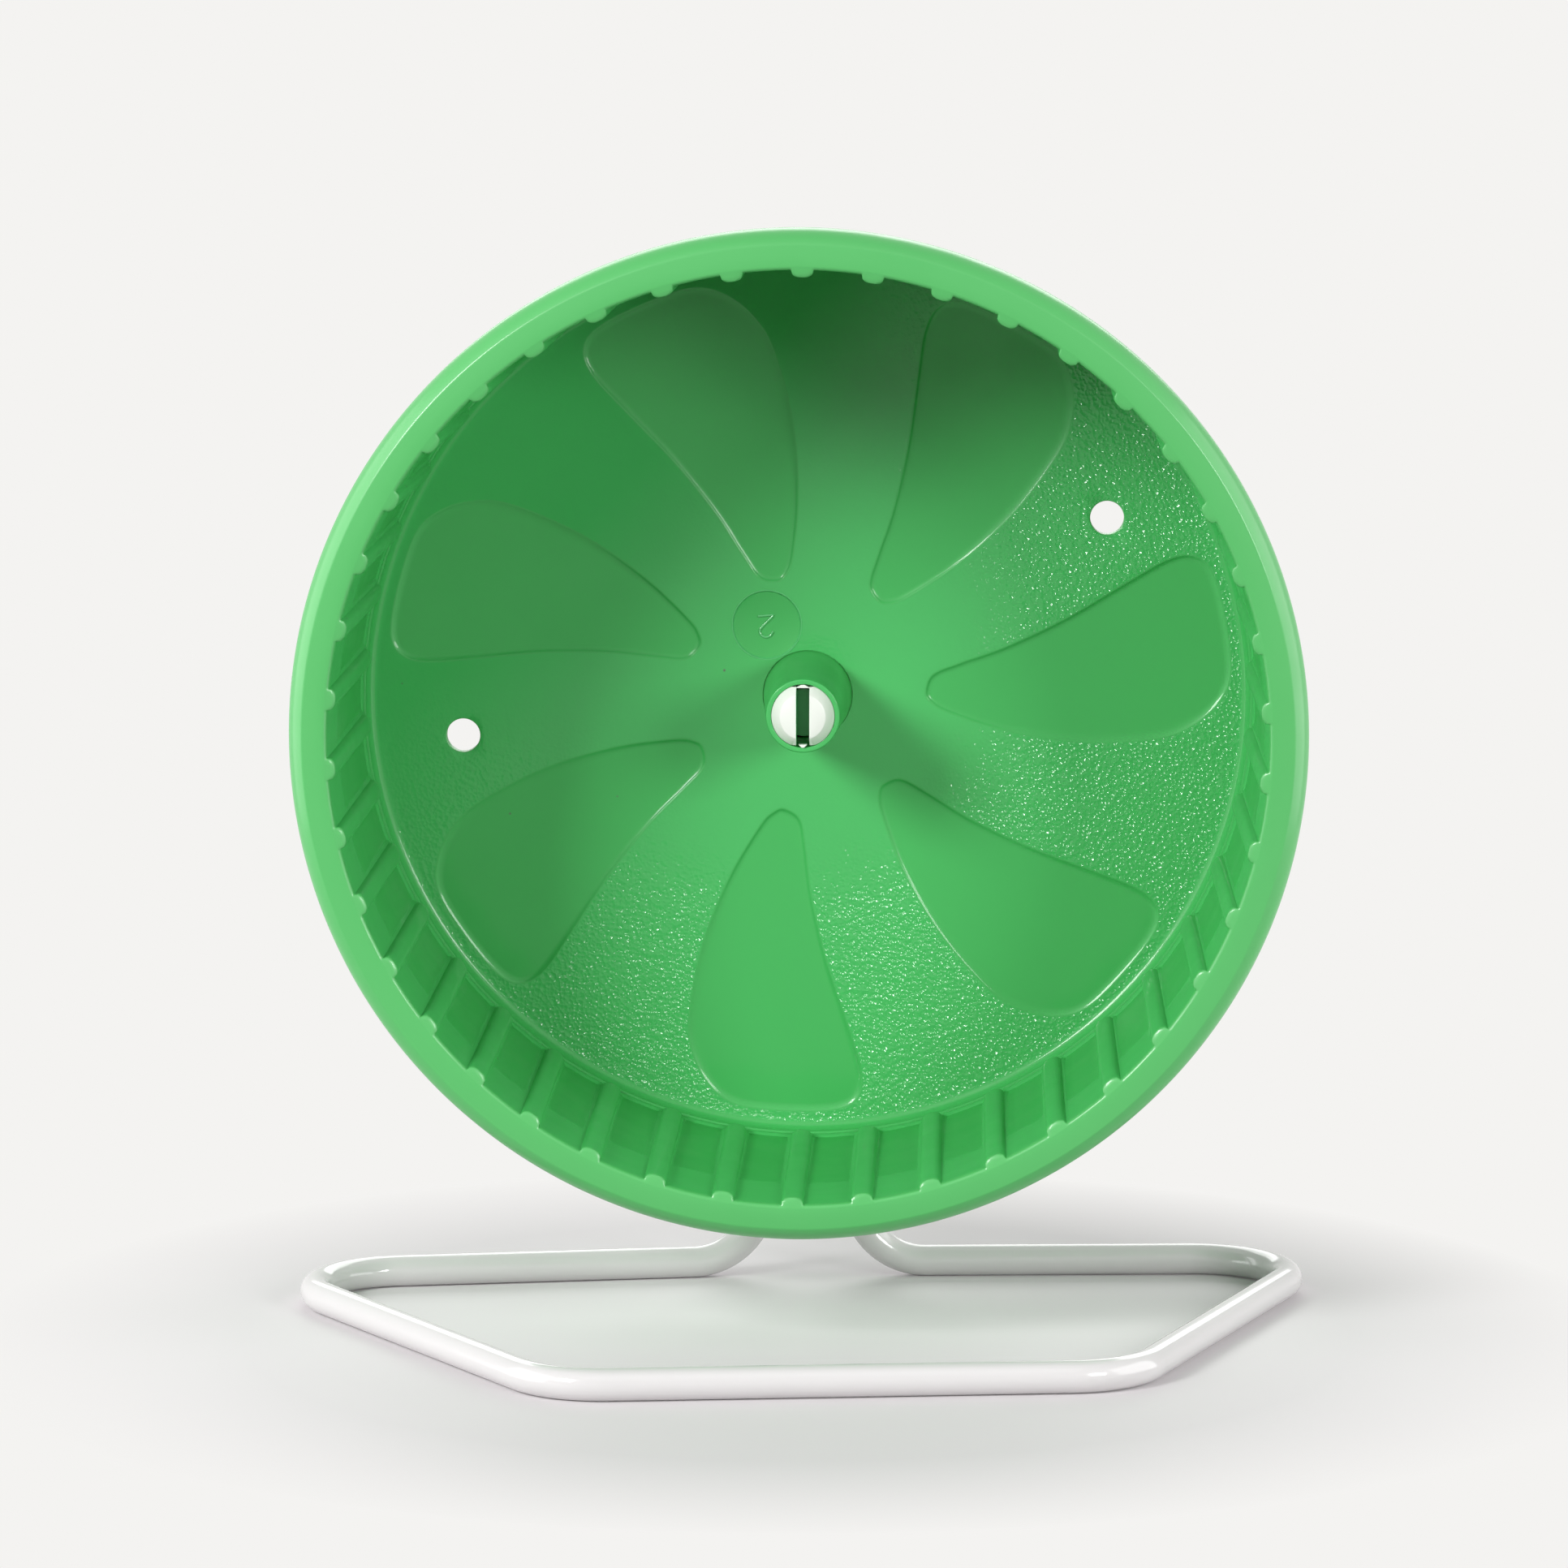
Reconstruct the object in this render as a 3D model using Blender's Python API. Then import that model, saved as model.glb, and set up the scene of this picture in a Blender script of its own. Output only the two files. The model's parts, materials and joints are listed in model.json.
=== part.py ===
# Hamster wheel: an open moulded drum with tread ribs that spins on a split snap pin,
# carried from behind by a stand bent from one coated wire.
#
# Lengths are in metres. Shapes are drawn round the axle: x to the right, y back from the
# widest circle of the lip, z up from the axle. Two empties then lift them to their place.

import math

import bmesh
import bpy
import numpy as np
from mathutils import Vector

mm = 0.001

# Driving sizes
rim_diameter = 140.0 * mm          # widest circle of the flared lip
lip_width = 5.5 * mm               # running wall's front edge out to that circle
drum_depth = 46.0 * mm             # widest circle of the lip back to the inner face of the back wall
drum_clearance = 12.0 * mm         # base's wire up to the lip
wire_diameter = 4.5 * mm           # coated wire, across its flats
pin_diameter = 6.6 * mm            # shank of the axle pin
upright_wall = 0.75 * mm           # holder's wall between the pin's hole and each upright's groove
loop_depth = 79.6 * mm             # uprights forward to the front run of the base
loop_front_width = 79.2 * mm       # front run between the crossings of the wire's centre lines
loop_rear_width = 154.6 * mm       # rear corners between the same crossings

# Clearances and counts shared by the pieces
seat_gap = 0.3 * mm                # between pieces that touch or run on each other
cut_overrun = 2.0 * mm             # how far a cutter passes the face that it opens
rib_count = 42
blade_count = 7
drum_steps = 2 * rib_count
weld_distance = 0.001 * mm         # points on the axis closer than this are one

rim_radius = rim_diameter / 2
tread_radius = rim_radius - lip_width
wire_radius = wire_diameter / 2
pin_radius = pin_diameter / 2
bore_radius = pin_radius + seat_gap
axle_height = wire_diameter + drum_clearance + rim_radius
upright_spacing = 2 * (bore_radius + upright_wall + seat_gap + wire_radius)


# Shared making

def mesh_object(name, shape, parent, material):
    """Turn a bmesh into an object with its faces outwards, and hang it on an empty."""
    bmesh.ops.recalc_face_normals(shape, faces=shape.faces)
    mesh = bpy.data.meshes.new(name)
    shape.to_mesh(mesh)
    shape.free()
    mesh.shade_smooth()
    mesh.set_sharp_from_angle(angle=math.radians(32))
    thing = bpy.data.objects.new(name, mesh)
    bpy.context.scene.collection.objects.link(thing)
    thing.parent = parent
    if material:
        mesh.materials.append(material)
    return thing


def turned(profile, steps, rise=0.0):
    """Spin a profile of (radius, y) points about a line along y, at the given height.

    A closed ring comes from a profile off the axis, and a solid from one that ends on the axis.
    """
    shape = bmesh.new()
    verts = [shape.verts.new((radius, y, rise)) for radius, y in profile]
    edges = [shape.edges.new(pair) for pair in zip(verts, verts[1:])]
    if profile[0][0] != 0:
        edges.append(shape.edges.new((verts[-1], verts[0])))
    bmesh.ops.spin(shape, geom=verts + edges, cent=(0, 0, rise), axis=(0, 1, 0),
                   angle=2 * math.pi, steps=steps, use_merge=True)
    on_axis = [v for v in shape.verts if v.co.x ** 2 + (v.co.z - rise) ** 2 < weld_distance ** 2]
    bmesh.ops.remove_doubles(shape, verts=on_axis, dist=weld_distance)
    return shape


def arc(centre, radius, start, end, steps):
    """Points of an arc in a profile, from one angle in degrees to another."""
    points = []
    for step in range(steps + 1):
        angle = math.radians(start + (end - start) * step / steps)
        points.append((centre[0] + radius * math.cos(angle), centre[1] + radius * math.sin(angle)))
    return points


def inset(outline, distance):
    """Draw an outline in by a distance. Its points run anticlockwise, seen from the front."""
    outline = np.array(outline)
    ahead = np.roll(outline, -1, axis=0) - np.roll(outline, 1, axis=0)
    ahead /= np.linalg.norm(ahead, axis=1)[:, None]
    return outline + np.column_stack([-ahead[:, 1], ahead[:, 0]]) * distance


def add_loft(shape, sections):
    """Closed solid through rings of points, one ring after another."""
    rings = [[shape.verts.new(point) for point in section] for section in sections]
    shape.faces.new(rings[0])
    shape.faces.new(reversed(rings[-1]))
    for ring, after in zip(rings, rings[1:]):
        for index, vert in enumerate(ring):
            beside = (index + 1) % len(ring)
            shape.faces.new((vert, ring[beside], after[beside], after[index]))


def level(outline, y):
    """An (x, z) outline as points in the plane at y."""
    return [(x, y, z) for x, z in outline]


def prism(outline, front, back):
    shape = bmesh.new()
    add_loft(shape, [level(outline, front), level(outline, back)])
    return shape


def combine(target, name, tool_shape, operation):
    """Cut or add a closed shape with a live Boolean modifier."""
    tool = mesh_object(name, tool_shape, target.parent, None)
    tool.hide_render = True
    tool.display_type = 'WIRE'
    modifier = target.modifiers.new(name, 'BOOLEAN')
    modifier.operation = operation
    modifier.solver = 'EXACT'
    modifier.object = tool


def rounded_rectangle(width, height, radius, steps):
    """Outline of an upright rectangle with round corners, centred on the axle."""
    points = []
    corners = ((1, 1, 0), (-1, 1, 90), (-1, -1, 180), (1, -1, 270))
    for side, rise, start in corners:
        centre = (side * (width / 2 - radius), rise * (height / 2 - radius))
        points.extend(arc(centre, radius, start, start + 90, steps))
    return points


def circle(centre, radius, steps):
    """Outline of a circle as an even polygon with flats to the sides and below."""
    points = []
    for step in range(steps):
        angle = 2 * math.pi * (step + 0.5) / steps
        points.append((centre[0] + radius * math.cos(angle), centre[1] + radius * math.sin(angle)))
    return points


def finish(name, colour, roughness, coat=0.0, metallic=0.0):
    """Plain Principled material with the colour that the photograph shows."""
    material = bpy.data.materials.new(name)
    material.use_nodes = True
    shader = material.node_tree.nodes['Principled BSDF']
    shader.inputs['Base Color'].default_value = (*colour, 1)
    shader.inputs['Roughness'].default_value = roughness
    shader.inputs['Metallic'].default_value = metallic
    shader.inputs['Coat Weight'].default_value = coat
    return material


# Drum: one moulding, open to the front

wall_thickness = 1.6 * mm
wall_draft = 0.5 * mm              # the wall narrows this much from its front to the ledge
lip_lead = 2.5 * mm                # lip's face in front of its widest circle
lip_thickness = 1.5 * mm
lip_skirt = 3.0 * mm               # the lip's edge turns back this far behind its widest circle
lip_roll = 2.6 * mm                # radius of the lip's rolled outer edge
lip_edge_radius = 0.6 * mm         # soft inner edge of the lip
ledge_height = 0.8 * mm            # step in at the rear of the running wall
ledge_setback = 2.2 * mm           # ledge in front of the back wall
ledge_slope = 0.3 * mm
floor_fillet = 0.6 * mm
back_thickness = 1.8 * mm
back_corner_radius = 1.2 * mm
hub_height = 22.5 * mm             # hub's tip in front of the back wall
hub_tip_wall = 0.45 * mm           # thin rim of the hub round the pin's barb
hub_taper = 1.15 * mm              # the hub's foot stands out this much more than its tip
hub_fillet = 0.9 * mm
hub_tip_edge = 0.25 * mm
rear_boss_wall = 3.4 * mm
rear_boss_height = 1.2 * mm

back_wall_y = drum_depth
back_face_y = back_wall_y + back_thickness
hub_tip_y = back_wall_y - hub_height
rear_boss_y = back_face_y + rear_boss_height
rear_boss_radius = bore_radius + rear_boss_wall
ledge_y = back_wall_y - ledge_setback
rear_tread_radius = tread_radius - wall_draft
floor_radius = rear_tread_radius - ledge_height

# Axle pin sizes that the hub also follows
barb_lip = 1.15 * mm               # barb out of the shank, all round
barb_front = 1.2 * mm              # pin's end in front of the hub's tip
barb_length = 5.0 * mm             # pin's end back to the barb's shoulder
barb_radius = pin_radius + barb_lip
mouth_radius = barb_radius + seat_gap
hub_tip_radius = mouth_radius + hub_tip_wall
hub_base_radius = hub_tip_radius + hub_taper
pin_end_y = hub_tip_y - barb_front
barb_back_y = pin_end_y + barb_length
mouth_floor_y = barb_back_y + seat_gap


def drum_profile():
    """Section of the drum as a closed ring of (radius, y) points, starting at the lip's inner edge."""
    lip_face_y = -lip_lead
    points = arc((tread_radius + lip_edge_radius, lip_face_y + lip_edge_radius), lip_edge_radius, 270, 180, 2)
    points.append((rear_tread_radius, ledge_y))
    points.append((floor_radius + floor_fillet / 2, ledge_y + ledge_slope))
    points.extend(arc((floor_radius - floor_fillet, back_wall_y - floor_fillet), floor_fillet, 0, 90, 2))
    points.extend(arc((hub_base_radius + hub_fillet, back_wall_y - hub_fillet), hub_fillet, 90, 180, 2))
    points.append((hub_tip_radius, hub_tip_y + hub_tip_edge))
    points.append((hub_tip_radius - hub_tip_edge / 2, hub_tip_y))
    points.append((mouth_radius, hub_tip_y))
    points.append((mouth_radius, mouth_floor_y))
    points.append((bore_radius, mouth_floor_y))
    points.append((bore_radius, rear_boss_y))
    points.append((rear_boss_radius, rear_boss_y))
    points.append((rear_boss_radius, back_face_y))
    outer_rear_radius = rear_tread_radius + wall_thickness
    corner = (outer_rear_radius - back_corner_radius, back_face_y - back_corner_radius)
    points.extend(arc(corner, back_corner_radius, 90, 0, 2))
    points.append((tread_radius + wall_thickness, lip_thickness))
    points.append((tread_radius + wall_thickness + lip_thickness / 2, 0))
    roll_centre = (rim_radius - lip_roll, lip_roll - lip_thickness)
    points.extend(arc(roll_centre, lip_roll - lip_thickness, 270, 360, 2))
    points.append((rim_radius - lip_thickness, lip_skirt))
    points.append((rim_radius, lip_skirt))
    points.extend(arc(roll_centre, lip_roll, 0, -65, 4))
    return points


# Tread ribs: half-round bars along the running wall

rib_radius = 1.25 * mm
rib_height = 1.0 * mm              # how far a rib stands out of the wall
rib_front_setback = 0.5 * mm       # rib's front end behind the lip's face
rib_rear_setback = 0.9 * mm        # rib's round rear end in front of the ledge
rib_sides = 8
rib_angle = math.radians(-0.6)     # first rib from straight up


def add_rib(shape, index):
    """One rib: a round bar along the wall, most of its front half showing, with a round rear end."""
    angle = math.pi / 2 + rib_angle - 2 * math.pi * index / rib_count
    out = Vector((math.cos(angle), 0, math.sin(angle)))
    side = Vector((-math.sin(angle), 0, math.cos(angle)))
    front_y = rib_front_setback - lip_lead
    rear_y = ledge_y - rib_rear_setback
    front_radius = tread_radius - rib_height + rib_radius
    slope = wall_draft / (ledge_y + lip_lead)
    stations = [(front_y, 1.0), (rear_y - rib_radius, 1.0)]
    for turn in (35, 65, 85):
        dip = math.radians(turn)
        stations.append((rear_y - rib_radius * (1 - math.sin(dip)), math.cos(dip)))
    sections = []
    for y, share in stations:
        centre = out * (front_radius - slope * (y - front_y)) + Vector((0, y, 0))
        ring = circle((0, 0), rib_radius * share, rib_sides)
        sections.append([centre + out * across + side * along for across, along in ring])
    add_loft(shape, sections)


def ribs():
    shape = bmesh.new()
    for index in range(rib_count):
        add_rib(shape, index)
    return shape


# Blades: smooth panels pressed into the back wall, the same depth out at its rear

blade_hub_margin = 10.25 * mm      # hub's foot out to the blade's tip
blade_wall_margin = 2.8 * mm       # blade's outer end to the back wall's edge
blade_width = 25.0 * mm
blade_depth = 1.0 * mm
blade_edge_slope = 0.45 * mm       # how far the recess draws in from its mouth to its floor
blade_pitch = 2 * math.pi / blade_count
blade_inner_radius = hub_base_radius + blade_hub_margin
blade_outer_radius = floor_radius - blade_wall_margin

# Outline of the blade that hangs down, seen from the front: share of its width to the right
# of the line through the axle, and share of its length out from its tip.
blade_shares = (
    (-0.130, 0.000), (-0.045, 0.035), (-0.015, 0.130), (0.020, 0.290), (0.105, 0.500),
    (0.225, 0.710), (0.305, 0.860), (0.295, 0.945), (0.190, 0.990), (-0.060, 1.000),
    (-0.400, 0.980), (-0.570, 0.910), (-0.665, 0.795), (-0.675, 0.670), (-0.600, 0.450),
    (-0.450, 0.230), (-0.270, 0.055), (-0.190, 0.008),
)
blade_smoothing = 2                # points on each stretch between two shares


def smooth_loop(points, pieces):
    """Closed curve through the points, each stretch a cubic led by its neighbours."""
    points = np.array(points)
    count = len(points)
    curve = []
    for index in range(count):
        before, start, end, after = (points[(index + k) % count] for k in (-1, 0, 1, 2))
        for piece in range(pieces):
            t = piece / pieces
            curve.append(0.5 * (2 * start + (end - before) * t
                                + (2 * before - 5 * start + 4 * end - after) * t ** 2
                                + (3 * start - before - 3 * end + after) * t ** 3))
    return np.array(curve)


def blade_outline(index):
    """Outline of one blade in the plane of the back wall, turned to its place, anticlockwise."""
    length = blade_outer_radius - blade_inner_radius
    points = []
    for across, along in blade_shares:
        points.append((across * blade_width, -(blade_inner_radius + along * length)))
    curve = smooth_loop(points, blade_smoothing)[::-1]
    angle = blade_pitch * index
    turn = np.array([[math.cos(angle), math.sin(angle)], [-math.sin(angle), math.cos(angle)]])
    return curve @ turn


def blade_recesses():
    """Cutters whose sides slope in from the wall's face to the recess's floor."""
    shape = bmesh.new()
    for index in range(blade_count):
        outline = blade_outline(index)
        mouth = inset(outline, -blade_edge_slope * cut_overrun / blade_depth)
        base = inset(outline, blade_edge_slope)
        add_loft(shape, [level(mouth, back_wall_y - cut_overrun), level(base, back_wall_y + blade_depth)])
    return shape


def blade_pads():
    """The same panels standing out of the drum's rear, so that the wall keeps its thickness."""
    shape = bmesh.new()
    for index in range(blade_count):
        outline = blade_outline(index)
        base = inset(outline, -blade_edge_slope)
        sections = [level(base, back_face_y - blade_depth / 2), level(outline, back_face_y + blade_depth)]
        add_loft(shape, sections)
    return shape


# Two small holes through the back wall, between blades

hole_radius = 2.4 * mm
hole_wall_margin = 13.5 * mm       # hole's centre to the back wall's edge
hole_circle_radius = floor_radius - hole_wall_margin
hole_angles = (math.radians(31), math.radians(187))
hole_steps = 20


def back_holes():
    shape = bmesh.new()
    for angle in hole_angles:
        centre = (hole_circle_radius * math.cos(angle), hole_circle_radius * math.sin(angle))
        outline = circle(centre, hole_radius, hole_steps)
        sections = [level(outline, back_wall_y - cut_overrun), level(outline, back_face_y + cut_overrun)]
        add_loft(shape, sections)
    return shape


def make_drum(parent):
    material = finish('green_moulding', (0.075, 0.430, 0.115), 0.3)
    drum = mesh_object('wheel_drum', turned(drum_profile(), drum_steps), parent, material)
    combine(drum, 'rib_adder', ribs(), 'UNION')
    combine(drum, 'pad_adder', blade_pads(), 'UNION')
    combine(drum, 'recess_cutter', blade_recesses(), 'DIFFERENCE')
    combine(drum, 'hole_cutter', back_holes(), 'DIFFERENCE')


# Places behind the drum, one piece after another

washer_thickness = 0.8 * mm
groove_front_wall = 2.05 * mm      # holder in front of the uprights' grooves
groove_back_wall = 1.65 * mm       # holder behind them

washer_front_y = rear_boss_y + seat_gap
washer_back_y = washer_front_y + washer_thickness
bracket_front_y = washer_back_y + seat_gap
wire_y = bracket_front_y + groove_front_wall + seat_gap + wire_radius
bracket_back_y = wire_y + wire_radius + seat_gap + groove_back_wall
head_y = bracket_back_y + seat_gap


# Axle pin: headed at the rear, split and barbed at the front

pin_head_overhang = 2.7 * mm       # head out of the shank, all round
pin_head_height = 2.0 * mm
pin_head_crown = 0.6 * mm
barb_taper = 2.0 * mm              # length of the lead-in from the pin's end to the barb's full size
barb_draw = 1.3 * mm               # how much smaller the pin's end is than the barb, all round
barb_shoulder = 0.6 * mm
barb_flat_depth = 0.35 * mm        # cut off the barb above and below
pin_slot_width = 1.7 * mm
pin_slot_length = 19.0 * mm
round_steps = 32

pin_head_radius = pin_radius + pin_head_overhang
barb_flat = barb_radius - barb_flat_depth


def make_pin(parent):
    profile = [(0, pin_end_y), (barb_radius - barb_draw, pin_end_y), (barb_radius, pin_end_y + barb_taper)]
    profile.append((barb_radius, barb_back_y - barb_shoulder))
    profile.append((pin_radius, barb_back_y))
    profile.append((pin_radius, head_y))
    profile.append((pin_head_radius, head_y))
    profile.append((pin_head_radius, head_y + pin_head_height - pin_head_crown))
    profile.append((pin_head_radius - pin_head_crown, head_y + pin_head_height))
    profile.append((0, head_y + pin_head_height))
    material = finish('white_pin', (0.78, 0.79, 0.75), 0.35)
    pin = mesh_object('axle_pin', turned(profile, round_steps), parent, material)
    half = pin_slot_width / 2
    tall = barb_radius + cut_overrun
    front = pin_end_y - cut_overrun
    slot = [(-half, -tall), (half, -tall), (half, tall), (-half, tall)]
    combine(pin, 'slot_cutter', prism(slot, front, pin_end_y + pin_slot_length), 'DIFFERENCE')
    flats = bmesh.new()
    for low, high in ((-tall, -barb_flat), (barb_flat, tall)):
        outline = [(-tall, low), (tall, low), (tall, high), (-tall, high)]
        add_loft(flats, [level(outline, front), level(outline, barb_back_y + seat_gap)])
    combine(pin, 'flat_cutter', flats, 'DIFFERENCE')


def make_washer(parent):
    profile = [(bore_radius, washer_front_y), (bore_radius, washer_back_y),
               (rear_boss_radius, washer_back_y), (rear_boss_radius, washer_front_y)]
    material = finish('white_washer', (0.74, 0.75, 0.72), 0.4)
    mesh_object('thrust_washer', turned(profile, round_steps), parent, material)


# Wire stand: one length of coated wire, from one upright down, round the base and up the other

wire_sides = 12
loop_rear_sweep = 4.2 * mm         # rear corners in front of the uprights
loop_bend_radius = 12.8 * mm       # centre line of the four bends on the ground
upright_bend_radius = 10.0 * mm
bend_steps = 6
stand_turn = math.radians(6.3)     # the loop was bent this far round from the drum's axis
stand_shift = -2.1 * mm            # and its middle lies this far to the left
wire_end_lead = 2.5 * mm           # cut ends above the upper screw
wire_end_edge = 0.4 * mm

# Screw sizes that the uprights also follow
screw_head_radius = 2.8 * mm
screw_head_gap = 3.7 * mm          # pin's head to each screw's head
screw_rise = pin_head_radius + screw_head_gap + screw_head_radius

wire_end_rise = screw_rise + wire_end_lead
base_z = wire_radius - axle_height


def loop_point(across, ahead):
    """A crossing of the base's centre lines, turned with the stand, as a point on the ground's plane."""
    x = math.cos(stand_turn) * (across + stand_shift) + math.sin(stand_turn) * ahead
    y = math.sin(stand_turn) * (across + stand_shift) - math.cos(stand_turn) * ahead
    return Vector((x, wire_y + y, base_z))


def bent_path(corners, radii, steps):
    """Centre line through the corners with each bend an arc: a list of (point, direction)."""
    stations = [(corners[0], (corners[1] - corners[0]).normalized())]
    for index, radius in enumerate(radii):
        before, corner, after = corners[index], corners[index + 1], corners[index + 2]
        into = (corner - before).normalized()
        away = (after - corner).normalized()
        bend = into.angle(away)
        cut = radius * math.tan(bend / 2)
        inward = (away - into).normalized()
        centre = corner + inward * (radius / math.cos(bend / 2))
        axis = into.cross(away).normalized()
        start = corner - into * cut - centre
        for step in range(steps + 1):
            angle = bend * step / steps
            arm = start * math.cos(angle) + axis.cross(start) * math.sin(angle)
            heading = into * math.cos(angle) + axis.cross(into) * math.sin(angle)
            stations.append((centre + arm, heading))
    stations.append((corners[-1], (corners[-1] - corners[-2]).normalized()))
    return stations


def swept_wire(stations, side, radius, sides, end_edge):
    """Rings of a tube along the stations, carried on without twist, with chamfered ends."""
    corner_radius = radius / math.cos(math.pi / sides)
    first_point, first_heading = stations[0]
    last_point, last_heading = stations[-1]
    rings = [(first_point, first_heading, corner_radius - end_edge)]
    rings.append((first_point + first_heading * end_edge, first_heading, corner_radius))
    rings.extend((point, heading, corner_radius) for point, heading in stations[1:-1])
    rings.append((last_point - last_heading * end_edge, last_heading, corner_radius))
    rings.append((last_point, last_heading, corner_radius - end_edge))
    sections = []
    heading_before = first_heading
    for point, heading, ring_radius in rings:
        side = heading_before.rotation_difference(heading) @ side
        side = (side - heading * side.dot(heading)).normalized()
        up = heading.cross(side)
        heading_before = heading
        ring = circle((0, 0), ring_radius, sides)
        sections.append([point + side * across + up * along for across, along in ring])
    return sections


def wire_sections():
    half = upright_spacing / 2
    rear = loop_rear_width / 2
    front = loop_front_width / 2
    corners = [
        Vector((-half, wire_y, wire_end_rise)),
        Vector((-half, wire_y, base_z)),
        loop_point(-rear, loop_rear_sweep),
        loop_point(-front, loop_depth),
        loop_point(front, loop_depth),
        loop_point(rear, loop_rear_sweep),
        Vector((half, wire_y, base_z)),
        Vector((half, wire_y, wire_end_rise)),
    ]
    radii = [upright_bend_radius] + [loop_bend_radius] * 4 + [upright_bend_radius]
    stations = bent_path(corners, radii, bend_steps)
    run = (corners[2] - corners[1]).normalized()
    return swept_wire(stations, run, wire_radius, wire_sides, wire_end_edge)


def make_stand(parent, sections):
    shape = bmesh.new()
    add_loft(shape, sections)
    mesh_object('wire_stand', shape, parent, finish('white_coating', (0.80, 0.82, 0.80), 0.15, 0.5))


# Holder: two halves clamped on the uprights by two screws

bracket_side_wall = 3.85 * mm      # holder outside each upright
bracket_end_wall = 7.5 * mm        # holder beyond each screw's centre
bracket_corner_radius = 6.0 * mm
bracket_edge = 0.8 * mm
screw_radius = 1.4 * mm
screw_head_height = 1.9 * mm
screw_head_crown = 0.5 * mm
screw_tip_wall = 1.3 * mm          # left in front of the screw's hole
screw_tip_cone = 0.8 * mm
screw_steps = 16
corner_steps = 4

bracket_width = upright_spacing + wire_diameter + 2 * bracket_side_wall
bracket_height = 2 * (screw_rise + bracket_end_wall)
screw_hole_radius = screw_radius + seat_gap
screw_hole_floor_y = bracket_front_y + screw_tip_wall
screw_tip_y = screw_hole_floor_y + seat_gap


def bracket_body(front, back, outer_front):
    """Rounded slab, its edges softened on the face that looks away from the wire."""
    outline = rounded_rectangle(bracket_width, bracket_height, bracket_corner_radius, corner_steps)
    small = inset(outline, bracket_edge)
    shape = bmesh.new()
    if outer_front:
        add_loft(shape, [level(small, front), level(outline, front + bracket_edge), level(outline, back)])
    else:
        add_loft(shape, [level(outline, front), level(outline, back - bracket_edge), level(small, back)])
    return shape


def groove_cutter():
    """Two upright bars, a gap larger than the wire, from below the holder to over the cut ends."""
    corner_radius = (wire_radius + seat_gap) / math.cos(math.pi / wire_sides)
    low = -bracket_height / 2 - cut_overrun
    high = wire_end_rise + seat_gap
    shape = bmesh.new()
    for side in (-1, 1):
        ring = circle((side * upright_spacing / 2, wire_y), corner_radius, wire_sides)
        add_loft(shape, [[(x, y, low) for x, y in ring], [(x, y, high) for x, y in ring]])
    return shape


def hole_cutters(screw_front):
    """The pin's hole, and the two screw holes from the given plane back."""
    front = bracket_front_y - cut_overrun
    back = bracket_back_y + cut_overrun
    shape = bmesh.new()
    pin_outline = circle((0, 0), bore_radius, round_steps)
    add_loft(shape, [level(pin_outline, front), level(pin_outline, back)])
    for rise in (-screw_rise, screw_rise):
        outline = circle((0, rise), screw_hole_radius, screw_steps)
        add_loft(shape, [level(outline, screw_front), level(outline, back)])
    return shape


def make_bracket(parent):
    material = finish('white_holder', (0.72, 0.73, 0.70), 0.4)
    shape = bracket_body(bracket_front_y, wire_y - seat_gap / 2, True)
    front = mesh_object('bracket_front', shape, parent, material)
    combine(front, 'front_groove_cutter', groove_cutter(), 'DIFFERENCE')
    combine(front, 'front_hole_cutter', hole_cutters(screw_hole_floor_y), 'DIFFERENCE')
    shape = bracket_body(wire_y + seat_gap / 2, bracket_back_y, False)
    back = mesh_object('bracket_back', shape, parent, material)
    combine(back, 'back_groove_cutter', groove_cutter(), 'DIFFERENCE')
    combine(back, 'back_hole_cutter', hole_cutters(wire_y - cut_overrun), 'DIFFERENCE')


def make_screws(parent):
    """Pan-head screws through the back half into the front one."""
    for name, rise in (('clamp_screw_upper', screw_rise), ('clamp_screw_lower', -screw_rise)):
        profile = [(0, screw_tip_y), (screw_radius - screw_tip_cone, screw_tip_y)]
        profile.append((screw_radius, screw_tip_y + screw_tip_cone))
        profile.append((screw_radius, head_y))
        profile.append((screw_head_radius, head_y))
        profile.append((screw_head_radius, head_y + screw_head_height - screw_head_crown))
        profile.append((screw_head_radius - screw_head_crown, head_y + screw_head_height))
        profile.append((0, head_y + screw_head_height))
        shape = turned(profile, screw_steps, rise)
        mesh_object(name, shape, parent, finish(name, (0.62, 0.62, 0.60), 0.3, metallic=1.0))


# Whole part: its origin is on the ground under the middle of its outline

def build():
    for thing in list(bpy.data.objects):
        bpy.data.objects.remove(thing)
    wire = wire_sections()
    spread = np.array([tuple(point) for section in wire for point in section])
    left = min(spread[:, 0].min(), -rim_radius)
    right = max(spread[:, 0].max(), rim_radius)
    foremost = min(spread[:, 1].min(), -lip_lead)
    rearmost = head_y + pin_head_height
    place = (-(left + right) / 2, -(foremost + rearmost) / 2, axle_height)
    frames = {}
    for name in ('stand_frame', 'wheel_spin'):
        empty = bpy.data.objects.new(name, None)
        empty.location = place
        bpy.context.scene.collection.objects.link(empty)
        frames[name] = empty
    make_drum(frames['wheel_spin'])
    make_pin(frames['stand_frame'])
    make_washer(frames['stand_frame'])
    make_stand(frames['stand_frame'], wire)
    make_bracket(frames['stand_frame'])
    make_screws(frames['stand_frame'])
    bpy.context.view_layer.update()


build()
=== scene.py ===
import json
import math

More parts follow.
